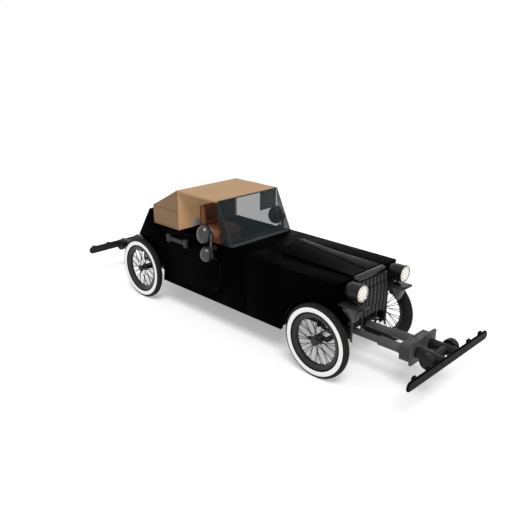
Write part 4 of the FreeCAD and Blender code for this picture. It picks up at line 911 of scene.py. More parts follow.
def wheel_piece(end, y, side, sign):
    """Wire wheel: rolled rim, stepped hub with its cap, and laced spokes."""
    centre = Vector((WHEEL_X * sign, y, WHEEL_Z))
    rim = [(0.0, 0.2515), (0.009, 0.2518), (0.016, 0.2545), (0.0215, 0.266), (0.0275, 0.281),
           (0.0315, 0.2885), (0.0350, 0.2925), (0.0355, 0.2962), (0.0332, 0.2992), (0.0300, 0.2988),
           (0.0262, 0.2958), (0.020, 0.2955)]
    profile = [(-along, radius) for along, radius in rim[:0:-1]] + rim
    bm = bmesh.new()
    turn(bm, profile, centre, (sign, 0, 0), steps=96, closed=True)
    hub = [(0.058, 0.0), (0.058, 0.012), (0.0565, 0.019), (0.052, 0.0235), (0.047, 0.025), (0.046, 0.036),
           (0.0435, 0.0405), (0.039, 0.044), (0.030, 0.0448), (0.026, 0.0435), (0.021, 0.035),
           (0.017, 0.033), (-0.021, 0.033), (-0.025, 0.036), (-0.028, 0.049), (-0.030, 0.050),
           (-0.0378, 0.050), (-0.0393, 0.0485), (-0.0393, 0.0175), (-0.034, 0.0165), (-0.034, 0.0)]
    turn(bm, hub, centre, (sign, 0, 0), steps=48)
    name = "wheel_%s_%s" % (end, side)
    piece = mesh_object(name + "_wire", bm, [finish("rim")])
    grow(piece, "Wheel spokes", build_spoke_tree, {
        "Centre": centre, "Pairs": sizes().spoke_pairs, "Hub Radius": 0.0405, "Rim Radius": 0.2535,
        "Outer End": 0.030 * sign, "Inner End": -0.034 * sign, "Spoke Radius": sizes().spoke_radius,
        "Lean": 0.10, "Material": finish("rim")})
    body = "road_wheel_%s_%s" % (end, side)
    settle(piece, body, "rim_black", (name,), 40)
    places = []
    for index in range(6):
        angle = math.pi * index / 3
        offset = Vector((0.0445 * sign, 0.0305 * math.cos(angle), 0.0305 * math.sin(angle)))
        places.append((centre + offset, (sign, 0, 0)))
    bolt_heads("hub_nuts_%s_%s" % (end, side), places, body, "rim_black", 0.004)


# Chassis

def dress_chassis():
    """Frame, axles, springs and engine keep their shapes; what shows gets rounded edges."""
    for node, coat in (("frame", "chassis"), ("floor", "body"), ("engine", "engine")):
        repaint(node, finish(coat))
    dress("front_axle", "chassis", "chassis_paint", "chassis", 0.002)
    dress("rear_axle", "chassis", "chassis_paint", "chassis", 0.001)
    dress("leaf_springs", "chassis", "spring_steel", "spring", 0.0008)
    dress("exhaust", "chassis", "exhaust_steel", "pipe", 0.0)
    for side, sign in SIDES:
        dress("knuckle_" + side, "knuckle_" + side, "chassis_paint", "chassis", 0.001)
    dress("tie_rod", "tie_rod", "spring_steel", "spring", 0.0)
    places = [((x + shift, y, 0.5251), (0, 0, 1))
              for x in (-0.285, 0.285) for y in (-1.55, -1.45, 1.45, 1.55) for shift in (-0.012, 0.012)]
    bolt_heads("spring_bolts", places, "chassis", "chassis_paint", 0.007)


# Body

def dress_body():
    """Rear quarters, tail, cowl and wings with softened edges, mouldings and cabin trim."""
    for side, sign in SIDES:
        dress("side_panel_" + side, "chassis", "body_paint", "body", 0.003)
        dress("front_quarter_" + side, "chassis", "body_paint", "body", 0.003)
    dress("tail", "chassis", "body_paint", "body", 0.003)
    dress("cowl", "chassis", "body_paint", "body", 0.0015)
    bm = bmesh.new()
    for side, sign in SIDES:
        x = 0.5245 * sign
        tube(bm, [(x, 1.110, 0.83), (x, 1.110, 1.049)], 0.0018, 6)
        tube(bm, [(x, -0.4405, 0.331), (x, -0.4405, 1.049)], 0.0018, 6)
        for y, z, radius, start, reach, count in ((-1.483, 0.285, 0.5262, 4, 94, 24),
                                                  (1.496, 0.447, 0.4032, 178, -108, 28)):
            lip = []
            for index in range(count + 1):
                angle = math.radians(start + reach * index / count)
                lip.append((0.5225 * sign, y + radius * math.cos(angle), z + radius * math.sin(angle)))
            tube(bm, lip, 0.004, 8)
    fit("body_mouldings", bm, "body", "chassis", "body_paint")
    # Painted reflection: a grey ledge behind the windscreen's foot stands in for the glass's pale sheen.
    bm = bmesh.new()
    slab(bm, (-0.484, -0.166, 1.0515), (0.484, -0.104, 1.0575), 0.002)
    fit("dash_ledge", bm, "ledge", "chassis", "body_paint")
    # Painted shade: the dash trim takes the dark teal cabin trim.
    bm = bmesh.new()
    slab(bm, (-0.478, -0.094, 1.0515), (0.478, 0.020, 1.0545), 0.001)
    slab(bm, (-0.478, 0.0195, 0.985), (0.478, 0.0245, 1.053), 0.0015)
    for x in (-0.21, -0.05, 0.14, 0.24, 0.34):
        turn(bm, [(0.0, 0.0), (0.0, 0.030), (0.003, 0.034), (0.006, 0.032), (0.007, 0.028), (0.006, 0.0)],
             (x, 0.0235, 1.018), (0, 1, 0), 32)
    fit("dash_trim", bm, "cabin", "chassis", "body_paint")


def hood_piece(side, sign):
    """One half of the hood: a thin curved sheet with a turned lip, its tabs and its hinge barrels."""
    rear_y, front_y = -0.700, -1.660
    crown, base = (1.165, 1.068), (1.080, 1.062)
    half, gap, thick = 0.235, 0.011, 0.006
    rows, steps = 24, 20
    bm = bmesh.new()
    outer, inner = [], []
    for row in range(rows + 1):
        share = row / rows
        y = rear_y + (front_y - rear_y) * share
        top = crown[0] + (crown[1] - crown[0]) * share
        low = base[0] + (base[1] - base[0]) * share
        deck = 1.052 - 0.006 * max(0.0, (-0.440 - y) / 1.235) + 0.005
        rise = top - low
        radius = (rise * rise + half * half) / (2 * rise)
        line_out, line_in = [], []
        for inset, line in ((0.0, line_out), (thick, line_in)):
            for step in range(steps + 1):
                x = gap + (half - inset - gap) * step / steps
                z = top - radius + math.sqrt((radius - inset) ** 2 - x * x)
                line.append(bm.verts.new((x * sign, y, z)))
        line_out.append(bm.verts.new((half * sign, y, deck)))
        line_in.append(bm.verts.new(((half - thick) * sign, y, deck)))
        outer.append(line_out)
        inner.append(line_in)
    last = steps + 1
    for row in range(rows):
        for lines in (outer, inner):
            here, there = lines[row], lines[row + 1]
            for step in range(last):
                bm.faces.new((here[step], there[step], there[step + 1], here[step + 1]))
        for step in (0, last):
            bm.faces.new((outer[row][step], outer[row + 1][step], inner[row + 1][step], inner[row][step]))
    for row in (0, rows):
        for step in range(last):
            bm.faces.new((outer[row][step], outer[row][step + 1], inner[row][step + 1], inner[row][step]))
    rear = Vector((0, rear_y, crown[0] - 0.003))
    front = Vector((0, front_y, crown[1] - 0.003))
    along = (front - rear).normalized()
    length = (front - rear).length
    for share in ((0.1, 0.6) if side == "left" else (0.3, 0.8)):
        start = rear + along * (length * share)
        turn(bm, [(0.0, 0.0058), (0.0, 0.0090), (0.001, 0.010), (0.043, 0.010), (0.044, 0.0090),
                  (0.044, 0.0058)], start, along, 24, closed=True)
        middle = start + along * 0.022
        slab(bm, (0.006 * sign, middle.y - 0.020, middle.z - 0.0022),
             (0.026 * sign, middle.y + 0.020, middle.z + 0.0022), 0.001)
    for row_y in (-0.735, -1.625):
        share = (row_y - rear_y) / (front_y - rear_y)
        z = base[0] + (base[1] - base[0]) * share
        slab(bm, (0.2345 * sign, row_y - 0.014, z - 0.018),
             (0.243 * sign, row_y + 0.014, z - 0.006), 0.002)
    fit("hood_%s_sheet" % side, bm, "hood", "hood_" + side, "hood_paint", ("hood_" + side,), 30)


# Doors

def dress_doors():
    """Doors with their hinge leaves, pulls with screws, and the paired mirrors."""
    for side, sign in SIDES:
        body = "door_" + side
        dress("door_" + side, body, "body_paint", "body", 0.0025)
        dress("door_pull_" + side, body, "pull_grey", "pull", 0.003)
        # Painted shade: the door cards take the dark teal cabin trim.
        bm = bmesh.new()
        x = 0.4855 * sign
        slab(bm, (x, 0.060, 0.46), (x - 0.0035 * sign, 0.960, 1.020), 0.0015)
        x = 0.4825 * sign
        slab(bm, (x, 0.110, 0.60), (x - 0.004 * sign, 0.910, 0.80), 0.002)
        fit("door_card_" + side, bm, "cabin", body, "body_paint")
        places = [((0.5593 * sign, y, z), (sign, 0, 0))
                  for y in (0.577, 0.613, 0.912, 0.948) for z in (0.902, 0.978)]
        bolt_heads("pull_screws_" + side, places, body, "pull_grey", 0.0045)
        places = [((0.530 * sign, y, z), (sign, 0, 0)) for z in (0.50, 0.88) for y in (0.060, 0.080)]
        bolt_heads("hinge_screws_" + side, places, body, "body_paint", 0.0038)
        mirror_piece(side, sign)


def mirror_piece(side, sign):
    """Two egg-shaped shells on an upright bar with plates, and the arm and foot that hold the bar to the door.
    """
    bm = bmesh.new()
    for x, y, z, radius, height in ((0.595, 0.176, 1.166, 0.098, 0.118), (0.615, 0.128, 0.940, 0.078, 0.094)):
        profile = []
        for index in range(25):
            angle = math.pi * index / 24
            wide = radius * math.sin(angle) * (1 + 0.06 * math.cos(angle)) if 0 < index < 24 else 0.0
            profile.append((-height * math.cos(angle), wide))
        turn(bm, profile, (x * sign, y, z), (0, 0, 1), 56)
    bar_low, bar_high = 0.917, 1.189
    slab(bm, (0.591 * sign, 0.044, bar_low), (0.609 * sign, 0.076, bar_high), 0.004, 3)
    for z in (0.940, 1.166):
        slab(bm, (0.586 * sign, 0.030, z - 0.033),
             (0.614 * sign, 0.092, z + 0.033), 0.004, 3)
    slab(bm, (0.526 * sign, 0.046, 0.986), (0.600 * sign, 0.074, 1.014), 0.005, 3)
    slab(bm, (0.5255 * sign, 0.045, 0.970), (0.5355 * sign, 0.090, 1.030), 0.003)
    fit("mirror_%s_shells" % side, bm, "mirror", "door_" + side, "mirror_grey", ("mirror_" + side,), 35)
    places = [((0.600 * sign, 0.0305, z), (0, -1, 0)) for z in (0.918, 0.962, 1.144, 1.188)]
    bolt_heads("mirror_bolts_" + side, places, "door_" + side, "mirror_grey", 0.0055)


# Front end

def grille_piece():
    """Core with its mesh front, three tiers of ribs, feet and the rounded header bar."""
    half, back = 0.264, -1.735
    bm = bmesh.new()
    slab(bm, (-0.250, -1.690, 0.560), (0.250, -1.640, 1.010), 0.004)
    slab(bm, (-half, back, 0.600), (half, -1.688, 1.000), 0.003)
    slab(bm, (-0.014, -1.668, 1.000), (0.014, -1.656, 1.050), 0.002)
    slab(bm, (-0.007, -1.668, 1.040), (0.007, -1.656, 1.066), 0.002)
    for sign in (-1, 1):
        slab(bm, (0.232 * sign, -1.690, 0.5255), (0.290 * sign, -1.640, 0.580), 0.003)
        slab(bm, (0.118 * sign, -1.735, 0.4485), (0.130 * sign, -1.715, 0.602), 0.002)
    piece = mesh_object("grille_ribs", bm, [finish("grille")])
    count = sizes().grille_ribs
    for low, high, setback in ((0.600, 0.696, 0.010), (0.704, 0.906, 0.0), (0.914, 1.000, 0.010)):
        grow(piece, "Grille ribs", build_rib_tree, {
            "Foot": (0.0, -1.7475 + setback, low), "Ribs": count, "Pitch": 2 * half / count,
            "Rib Width": 0.045, "Rib Depth": 0.035, "Rib Height": high - low, "Material": finish("grille")})
    settle(piece, "chassis", "grille_grey", ("radiator",), 30)
    bm = bmesh.new()
    ends = []
    for index in range(9):
        angle = math.pi / 2 * index / 8
        ends.append((-0.215 - 0.040 * math.cos(angle), 0.040 * math.sin(angle)))
    profile = ends + [(-along, radius) for along, radius in ends[::-1]]
    turn(bm, profile, (0, -1.700, 1.028), (1, 0, 0), 48)
    fit("header_bar", bm, "header", "chassis", "grille_grey")


def lamp_pieces():
    """Smooth drums with rolled bezels and feet, bright reflectors and pressed lenses."""
    bm_drum, bm_lens, bm_bright = bmesh.new(), bmesh.new(), bmesh.new()
    for sign in (1, -1):
        centre = Vector((LAMP_X * sign, LAMP_Y, LAMP_Z))
        drum = [(0.000, 0.0835), (-0.005, 0.0845), (-0.006, 0.089), (-0.002, 0.0925), (0.009, 0.0935),
                (0.012, 0.0905), (0.016, 0.0895), (0.090, 0.0885), (0.128, 0.0860), (0.152, 0.0775),
                (0.170, 0.0640), (0.182, 0.0450), (0.188, 0.0230), (0.190, 0.0)]
        turn(bm_drum, drum, centre, (0, 1, 0), 64)
        turn(bm_drum, [(0.1885, 0.0), (0.1885, 0.010), (0.196, 0.010), (0.198, 0.007), (0.198, 0.0)],
             centre, (0, 1, 0), 24)
        reflector = [(0.000, 0.0845), (0.012, 0.0843), (0.020, 0.083), (0.040, 0.078), (0.065, 0.066),
                     (0.088, 0.049), (0.104, 0.028), (0.108, 0.012), (0.108, 0.0)]
        turn(bm_bright, reflector, centre, (0, 1, 0), 64)
        turn(bm_bright, [(-0.0045, 0.0822), (-0.0062, 0.0834), (-0.0060, 0.0852), (-0.004, 0.0856)],
             centre, (0, 1, 0), 64, closed=True)
        turn(bm_bright, [(0.045, 0.0), (0.048, 0.008), (0.056, 0.011), (0.066, 0.009), (0.078, 0.008),
                         (0.107, 0.008)], centre, (0, 1, 0), 20)
        lens = [(-0.0085, 0.0), (-0.0082, 0.030), (-0.007, 0.055), (-0.004, 0.073), (-0.001, 0.0828),
                (0.005, 0.0828), (0.004, 0.070), (0.0025, 0.040), (0.002, 0.0)]
        turn(bm_lens, lens, centre, (0, 1, 0), 64)
        foot = Vector((LAMP_X * sign, -1.804, 0.8343))
        turn(bm_drum, [(0.0, 0.0), (0.0, 0.046), (0.004, 0.047), (0.010, 0.042), (0.016, 0.032),
                         (0.022, 0.020), (0.030, 0.0150), (0.060, 0.0145), (0.060, 0.0)],
             foot, (0, 0, 1), 40)
    fit("headlamp_drums", bm_drum, "lamp", "chassis", "lamp_grey", ("headlamps",), 32)
    fit("headlamp_bright_work", bm_bright, "nickel", "chassis", "lamp_grey")
    fit("headlamp_glasses", bm_lens, lens_material(), "chassis", "lens",
           ("headlamp_lenses",), 30)


POD_STATIONS = ((0.0, 0.3, 0.24), (0.08, 0.62, 0.68), (0.24, 0.9, 1.0), (0.42, 1.0, 0.76), (0.56, 1.0, 0.6),
                (0.76, 0.86, 0.5), (1.0, 0.54, 0.36))


def pod_shape(share):
    """Half width and depth of the pod at a share of its length, as a smooth line through its stations."""
    last = len(POD_STATIONS) - 1
    index = max(k for k in range(last) if POD_STATIONS[k][0] <= share + 1e-9)
    here, there = POD_STATIONS[index], POD_STATIONS[index + 1]
    before, after = POD_STATIONS[max(0, index - 1)], POD_STATIONS[min(last, index + 2)]
    span = there[0] - here[0]
    t = (share - here[0]) / span
    found = []
    for k in (1, 2):
        slope = (there[k] - before[k]) / (there[0] - before[0]) * span
        leave = (after[k] - here[k]) / (after[0] - here[0]) * span
        found.append((2 * t ** 3 - 3 * t ** 2 + 1) * here[k] + (t ** 3 - 2 * t ** 2 + t) * slope
                     + (3 * t ** 2 - 2 * t ** 3) * there[k] + (t ** 3 - t ** 2) * leave)
    return 0.095 * found[0], 0.168 * found[1]


def pod(bm, x, top):
    """A deep rounded fairing with a flat top, closed at both ends."""
    rings = []
    for row in range(33):
        share = row / 32
        width, depth = pod_shape(share)
        ring = []
        for step in range(37):
            angle = math.pi * step / 36
            ring.append(bm.verts.new((x - width * math.cos(angle), -1.870 + 0.180 * share,
                                      top - depth * math.sin(angle) ** 0.72)))
        rings.append(ring)
    skin(bm, rings)
    bm.faces.new(rings[0])
    bm.faces.new(rings[-1])


def bracket_pieces():
    """Lamp plates with their lips, rounded pods with a dish in each side, and the posts."""
    bm = bmesh.new()
    plates = bmesh.new()
    for sign in (1, -1):
        slab(plates, (0.292 * sign, -1.920, 0.822), (0.482 * sign, -1.6755, 0.834), 0.003)
        slab(plates, (0.292 * sign, -1.920, 0.810), (0.482 * sign, -1.910, 0.834), 0.003)
        slab(bm, (0.292 * sign, -1.742, 0.372), (0.308 * sign, -1.7205, 0.830), 0.002)
        pod(bm, POD_X * sign, 0.8225)
    fit("lamp_bracket_pods", bm, "pod", "chassis", "lamp_grey", ("lamp_brackets",), 40)
    fit("lamp_plates", plates, "plate", "chassis", "lamp_grey", (), 32)
    bm = bmesh.new()
    for sign in (1, -1):
        for face in (-1, 1):
            turn(bm, [(0.0, 0.0), (0.001, 0.014), (0.003, 0.021), (0.0045, 0.0240), (0.0052, 0.0255),
                      (0.0035, 0.0268), (-0.020, 0.0268), (-0.020, 0.0)],
                 (POD_X * sign + face * 0.0785, -1.782, 0.750), (face, 0.15, -0.6), 32)
    # Painted shade: the dishes take near black for the shade in their hollows.
    fit("pod_dishes", bm, "dish", "chassis", "lamp_grey")
    places = [((x * sign, y, 0.8341), (0, 0, 1))
              for sign in (1, -1) for x in (0.318, 0.452) for y in (-1.895, -1.700)]
    bolt_heads("bracket_bolts", places, "chassis", "lamp_grey", 0.0065)


# Glass

def glass_pieces():
    """Windscreen and rear pane with slim frames, and two smoked visors."""
    repaint("window_glass", glass_material("Tinted window glass", colours().glass, 0.47))
    repaint("sun_visors", glass_material("Smoked visor pane", (0.012, 0.018, 0.020), 0.74, 0.08))
    bm = bmesh.new()
    base = Vector((0, -0.177, BELT_Z))
    top = Vector((0, 0.061, 1.555))
    for sign in (-1, 1):
        x = SCREEN_HALF * sign
        tube(bm, [(x, base.y + 0.002, base.z + 0.004), (x, top.y + 0.002, top.z - 0.004)], 0.0042, 10)
        tube(bm, [(x, base.y + 0.010, base.z + 0.004), (x, 0.020, base.z + 0.004)], 0.004, 10)
        tube(bm, [(x, 0.023, base.z + 0.006), (x, 0.058, 1.528)], 0.0040, 10)
    sill = [(x, base.y + 0.003, base.z + 0.004) for x in (-SCREEN_HALF, SCREEN_HALF)]
    tube(bm, sill, 0.0045, 10)
    fit("screen_frame", bm, "screws", "chassis", "body_paint")
    bm = bmesh.new()
    for sign in (-1, 1):
        low_x, high_x = sorted((0.210 * sign, 0.486 * sign))
        slab(bm, (low_x - 0.001, 0.0715, 1.524), (high_x + 0.001, 0.0825, 1.5335), 0.002)
        for x in (low_x + 0.05, high_x - 0.05):
            slab(bm, (x - 0.012, 0.0700, 1.505), (x + 0.012, 0.0840, 1.5335), 0.002)
    fit("visor_clips", bm, "screws", "chassis", "body_paint")
    bm = bmesh.new()
    half, y, low, high = PANE_HALF, ROOF_REAR + 0.004, BELT_Z, PANE_TOP
    corners = ((-half, low + 0.004), (half, low + 0.004), (half, high - 0.004), (-half, high - 0.004))
    tube(bm, [(x, y, z) for x, z in corners], 0.0035, 8, closed=True)
    fit("rear_pane_frame", bm, "screws", "chassis", "body_paint")
    # Painted light: an opaque pale pane stands in for the daylight seen through it.
    bm = bmesh.new()
    slab(bm, (0.001 - half, y - 0.0035, low + 0.001), (half - 0.001, y + 0.0005, high - 0.001), 0.001)
    fit("rear_pane", bm, "pane", "chassis", "body_paint")


# Canvas top

def canopy_line(sag):
    """Points (y, z) from the roof's front lip over the roof, down the slope and down the back."""
    points = [(ROOF_FRONT + 0.010, ROOF_Z - 0.022), (ROOF_FRONT + 0.003, ROOF_Z - 0.016),
              (ROOF_FRONT, ROOF_Z - 0.008), (ROOF_FRONT + 0.003, ROOF_Z - 0.002)]
    steps = 28
    for index in range(steps + 1):
        share = index / steps
        y = ROOF_FRONT + 0.012 + (ROOF_REAR - ROOF_FRONT - 0.012) * share
        points.append((y, ROOF_Z - sag * math.sin(math.pi * share * 2) ** 2))
    steps = 18
    for index in range(1, steps + 1):
        share = index / steps
        y = ROOF_REAR + (BOX_REAR - ROOF_REAR - 0.004) * share
        z = ROOF_Z + (BOX_Z - ROOF_Z) * share - sag * 1.3 * math.sin(math.pi * share)
        points.append((y, z))
    points.append((BOX_REAR, BOX_Z - 0.006))
    for index in range(1, 11):
        points.append((BOX_REAR, BOX_Z - 0.006 - (BOX_Z - 0.006 - BELT_Z) * index / 10))
    return points


def pucker(x, y, z):
    """Small folds where the canvas is drawn over its bows and seams."""
    return 0.0007 * math.sin(37 * x + 11 * y) * math.sin(29 * y - 7 * z) + 0.0004 * math.sin(90 * x + 40 * z)


def sheet_mesh(name, patches, materials):
    """A cloth mesh from grids of points, each with a map in metres and a material."""
    bm = bmesh.new()
    layer = bm.loops.layers.uv.new("cloth")
    for grid, material in patches:
        rows = [[bm.verts.new(point) for point, place in row] for row in grid]
        for i in range(len(rows) - 1):
            for j in range(len(rows[i]) - 1):
                corners = (rows[i][j], rows[i + 1][j], rows[i + 1][j + 1], rows[i][j + 1])
                spots = (grid[i][j][1], grid[i + 1][j][1], grid[i + 1][j + 1][1], grid[i][j + 1][1])
                face = bm.faces.new(corners)
                face.material_index = material
                for loop, spot in zip(face.loops, spots):
                    loop[layer].uv = spot
    bmesh.ops.remove_doubles(bm, verts=bm.verts, dist=0.0001)
    return mesh_object(name, bm, materials)


def thicken(piece, thickness, offset):
    """Gives a sheet its thickness and returns the area that it had before."""
    area = sum(face.area for face in piece.data.polygons)
    body = piece.modifiers.new("Cloth thickness", "SOLIDIFY")
    body.thickness = thickness
    body.offset = offset
    bake(piece)
    return area


def canopy_piece():
    """One continuous sheet: roof with turned-down sides, sloping back, rear wall and side walls."""
    sag = sizes().canvas_sag
    line = canopy_line(sag)
    columns = 40
    lengths = [0.0]
    for (y0, z0), (y1, z1) in zip(line, line[1:]):
        lengths.append(lengths[-1] + math.hypot(y1 - y0, z1 - z0))
    top = []
    for (y, z), far in zip(line, lengths):
        row = []
        for column in range(columns + 1):
            share = column / columns
            x = TOP_HALF * (2 * share - 1)
            crown = 0.0
            if ROOF_FRONT + 0.01 < y < BOX_REAR - 0.01:
                crown = pucker(x, y, z) * (1 - (2 * share - 1) ** 8)
            push = 0.0
            if y > BOX_REAR - 0.003 and z < BOX_Z - 0.01:
                push = pucker(x, y, z) - 0.003 * math.sin(math.pi * share)
            row.append(((x, y + push, z + crown), (x, far)))
        top.append(row)
    patches = [(top, 0)]
    roof_count = 4 + 29
    for sign in (-1, 1):
        valance = []
        for index in range(roof_count):
            y, edge = line[index]
            column = []
            for drop, out in ((0.0, 0.0), (0.35, -0.0005), (0.7, -0.0015), (1.0, -0.003)):
                low = min(edge, ROOF_Z - 0.024)
                height = edge + (low - edge) * drop
                column.append(((sign * (TOP_HALF + out), y, height), (0.5 + edge - height, lengths[index])))
            valance.append(column)
        patches.append((valance, 0))
        wall = []
        rise = []
        for index in range(roof_count - 1, len(line)):
            y, edge = line[index]
            if edge < BOX_Z - 0.007:
                break
            column, over = [], []
            for row in range(9):
                height = edge + (BOX_Z - 0.006 - edge) * row / 8 if edge > BOX_Z - 0.006 else edge
                inset = 0.004 * math.sin(math.pi * min(1.0, row / 8)) ** 0.6 if edge > BOX_Z + 0.01 else 0.0
                over.append(((sign * (TOP_HALF - inset), y, height), (y, height)))
            for row in range(11):
                height = min(edge, BOX_Z - 0.006) + (BELT_Z - min(edge, BOX_Z - 0.006)) * row / 10
                fold = pucker(y * 1.3, height, y) if 0 < row < 10 else 0.0
                column.append(((sign * (TOP_HALF + fold), y, height), (y, height)))
            wall.append(column)
            rise.append(over)
        patches.append((rise, 1))
        patches.append((wall, 2))
    # Painted shade: the slope's rise and the side walls take darker copies of the canvas than the roof.
    piece = sheet_mesh("canvas_canopy", patches,
                       [canvas_material(), canvas_material("Tan canvas in shade", 0.52, 0.34), shaded_side_canvas()])
    area = thicken(piece, sizes().canvas_thickness, -1)
    settle(piece, "chassis", "canvas", ("canvas_top",), 38)
    return piece, area, lengths[-1]


def wall_piece():
    """The cross wall that hangs from the roof, with its window notch."""
    patches = []
    y = ROOF_REAR + 0.003

    def place(x, z):
        dip = 0.004 * math.sin(math.pi * (z - BELT_Z) / (ROOF_Z - BELT_Z)) * math.cos(math.pi * x)
        return (x, y + dip + pucker(x, z, x), z), (x, z)

    def patch(low_x, high_x, low_z, high_z, across, up):
        grid = []
        for i in range(up + 1):
            z = low_z + (high_z - low_z) * i / up
            grid.append([place(low_x + (high_x - low_x) * j / across, z) for j in range(across + 1)])
        patches.append((grid, 0))

    sill, head, half, edge = BELT_Z, PANE_TOP, PANE_HALF, TOP_HALF - 0.001
    for low_x, high_x, across in ((-edge, -half, 12), (half, edge, 12)):
        patch(low_x, high_x, sill, head, across, 6)
        patch(low_x, high_x, head, ROOF_Z - 0.006, across, 22)
    patch(-half, half, head, ROOF_Z - 0.006, 24, 22)
    # Painted light: the cross wall's canvas is brighter than the roof's and glows, to lift it out of the roof's
    # shadow.
    piece = sheet_mesh("canvas_wall", patches, [canvas_material("Tan wall canvas", 1.15, 0.34, 0.30)])
    area = thicken(piece, sizes().canvas_thickness, 0)
    settle(piece, "chassis", "canvas", (), 38)
    return piece, area


def canvas_seams():
    """Rows of stitches beside the seams and hems, and the bound edges."""
    rows = []
    for sign in (-1, 1):
        x = sign * (TOP_HALF - 0.012)
        rows.append([(x, ROOF_FRONT + 0.02 + 0.024 * k, ROOF_Z - 0.0030) for k in range(30)])
        x = sign * (TOP_HALF + 0.0012)
        for z in (BOX_Z - 0.016, BELT_Z + 0.012):
            rows.append([(x, ROOF_REAR + 0.012 + 0.02 * k, z) for k in range(24)])
    front = ROOF_REAR + 0.0005
    for y, z in ((front, BOX_Z), (front, ROOF_Z - 0.034), (ROOF_FRONT + 0.03, ROOF_Z - 0.0005)):
        rows.append([(-0.47 + 0.02 * k, y, z) for k in range(48)])
    made = [stitches("canvas_stitches", rows, "chassis", "canvas", 0.0013)]
    bm = bmesh.new()
    for sign in (-1, 1):
        x = sign * (TOP_HALF + 0.0005)
        tube(bm, [(x, ROOF_REAR + 0.004, BOX_Z - 0.006), (x, BOX_REAR - 0.004, BOX_Z - 0.006)], 0.0035, 8)
        tube(bm, [(x, BOX_REAR + 0.0005, BOX_Z - 0.008), (x, BOX_REAR + 0.0005, BELT_Z + 0.006)], 0.003, 8)
        tube(bm, [(x, ROOF_REAR, BELT_Z + 0.006), (x, BOX_REAR, BELT_Z + 0.005)], 0.0035, 8)
        tube(bm, [(x, ROOF_REAR + 0.002, ROOF_Z - 0.028), (x, ROOF_REAR + 0.002, BELT_Z + 0.006)], 0.003, 8)
    tube(bm, [(-TOP_HALF, BOX_REAR + 0.001, BELT_Z + 0.005), (TOP_HALF, BOX_REAR + 0.001, BELT_Z + 0.005)],
         0.0035, 8)
    layer = bm.loops.layers.uv.new("cloth")
    for face in bm.faces:
        for loop in face.loops:
            loop[layer].uv = (loop.vert.co.y + loop.vert.co.z, loop.vert.co.x)
    # Painted shade: the bindings take the darker side canvas.
    piece = mesh_object("canvas_binding", bm, [shaded_side_canvas()])
    made.append(settle(piece, "chassis", "canvas"))
    return made


def top_irons():
    """Wooden bows and slim side rails that carry the canvas."""
    bm = bmesh.new()
    for x in (-RAIL_X, RAIL_X):
        low_x, high_x = x - 0.007, x + 0.007
        slab(bm, (low_x, ROOF_FRONT + 0.012, ROOF_Z - 0.0245),
             (high_x, ROOF_REAR + 0.01, ROOF_Z - 0.010), 0.003)
        slab(bm, (low_x, ROOF_REAR + 0.0065, BELT_Z - 0.0005),
             (high_x, ROOF_REAR + 0.020, ROOF_Z - 0.012), 0.003)
        tube(bm, [(x, ROOF_REAR + 0.012, ROOF_Z - 0.022), (x, BOX_REAR - 0.016, BOX_Z - 0.024)], 0.006, 10)
        slab(bm, (low_x, BOX_REAR - 0.022, BELT_Z - 0.0005), (high_x, BOX_REAR - 0.008, BOX_Z - 0.018), 0.003)
    for y in (ROOF_FRONT + 0.018, (ROOF_FRONT + ROOF_REAR) / 2, ROOF_REAR - 0.012):
        slab(bm, (-RAIL_X, y - 0.011, ROOF_Z - 0.0235), (RAIL_X, y + 0.011, ROOF_Z - 0.009), 0.004)
    slab(bm, (-RAIL_X, BOX_REAR - 0.024, BOX_Z - 0.034), (RAIL_X, BOX_REAR - 0.008, BOX_Z - 0.020), 0.004)
    fit("top_bows", bm, "irons", "chassis", "canvas")


# Seat

def padded_start(outline, low_x, high_x, inset):
    """A closed slab from a side outline of (y, z), drawn in by an inset."""
    middle_y = sum(point[0] for point in outline) / len(outline)
    middle_z = sum(point[1] for point in outline) / len(outline)
    bm = bmesh.new()
    ends = []
    for x in (low_x + inset, high_x - inset):
        row = []
        for y, z in outline:
            towards = Vector((middle_y - y, middle_z - z))
            step = towards.normalized() * min(inset, towards.length)
            row.append(bm.verts.new((x, y + step.x, z + step.y)))
        ends.append(row)
        bm.faces.new(row)
    count = len(outline)
    for index in range(count):
        after = (index + 1) % count
        bm.faces.new((ends[0][index], ends[1][index], ends[1][after], ends[0][after]))
    return bm


def even_mesh(piece, voxel):
    """Gives a piece a mesh of even cells, which cloth needs."""
    remesh = piece.modifiers.new("Even mesh", "REMESH")
    remesh.mode = "VOXEL"
    remesh.voxel_size = voxel
    bake(piece)


def swell(piece, held, cap):
    start = [vert.co.copy() for vert in piece.data.vertices]
    group = piece.vertex_groups.new(name="held")
    group.add([vert.index for vert in piece.data.vertices if held(vert.co)], 1.0, "REPLACE")
    cloth = piece.modifiers.new("Padding", "CLOTH")
    settings = {"quality": 5, "mass": 0.3, "tension_stiffness": 12, "compression_stiffness": 12,
                "bending_stiffness": 0.6, "use_pressure": True, "uniform_pressure_force": 4,
                "vertex_group_mass": "held"}
    for key, value in settings.items():
        setattr(cloth.settings, key, value)
    cloth.settings.effector_weights.gravity = 0
    cloth.collision_settings.use_collision = False
    cloth.point_cache.frame_start = 1
    cloth.point_cache.frame_end = 20
    for number in range(1, 21):
        bpy.context.scene.frame_set(number)
    graph = bpy.context.evaluated_depsgraph_get()
    moved = [vert.co.copy() for vert in piece.evaluated_get(graph).data.vertices]
    piece.modifiers.remove(cloth)
    bpy.context.scene.frame_set(1)
    for vert, before, after in zip(piece.data.vertices, start, moved):
        travel = after - before
        if travel.length > cap:
            travel = travel.normalized() * cap
        vert.co = before + travel


def level(piece):
    """Evens small ripples, then adds one subdivision."""
    bm = bmesh.new()
    bm.from_mesh(piece.data)
    for index in range(2):
        bmesh.ops.smooth_vert(bm, verts=bm.verts, factor=0.5, use_axis_x=True, use_axis_y=True, use_axis_z=True)
    bm.to_mesh(piece.data)
    bm.free()
    finer = piece.modifiers.new("Finer", "SUBSURF")
    finer.levels = 1
    finer.render_levels = 1
    bake(piece)


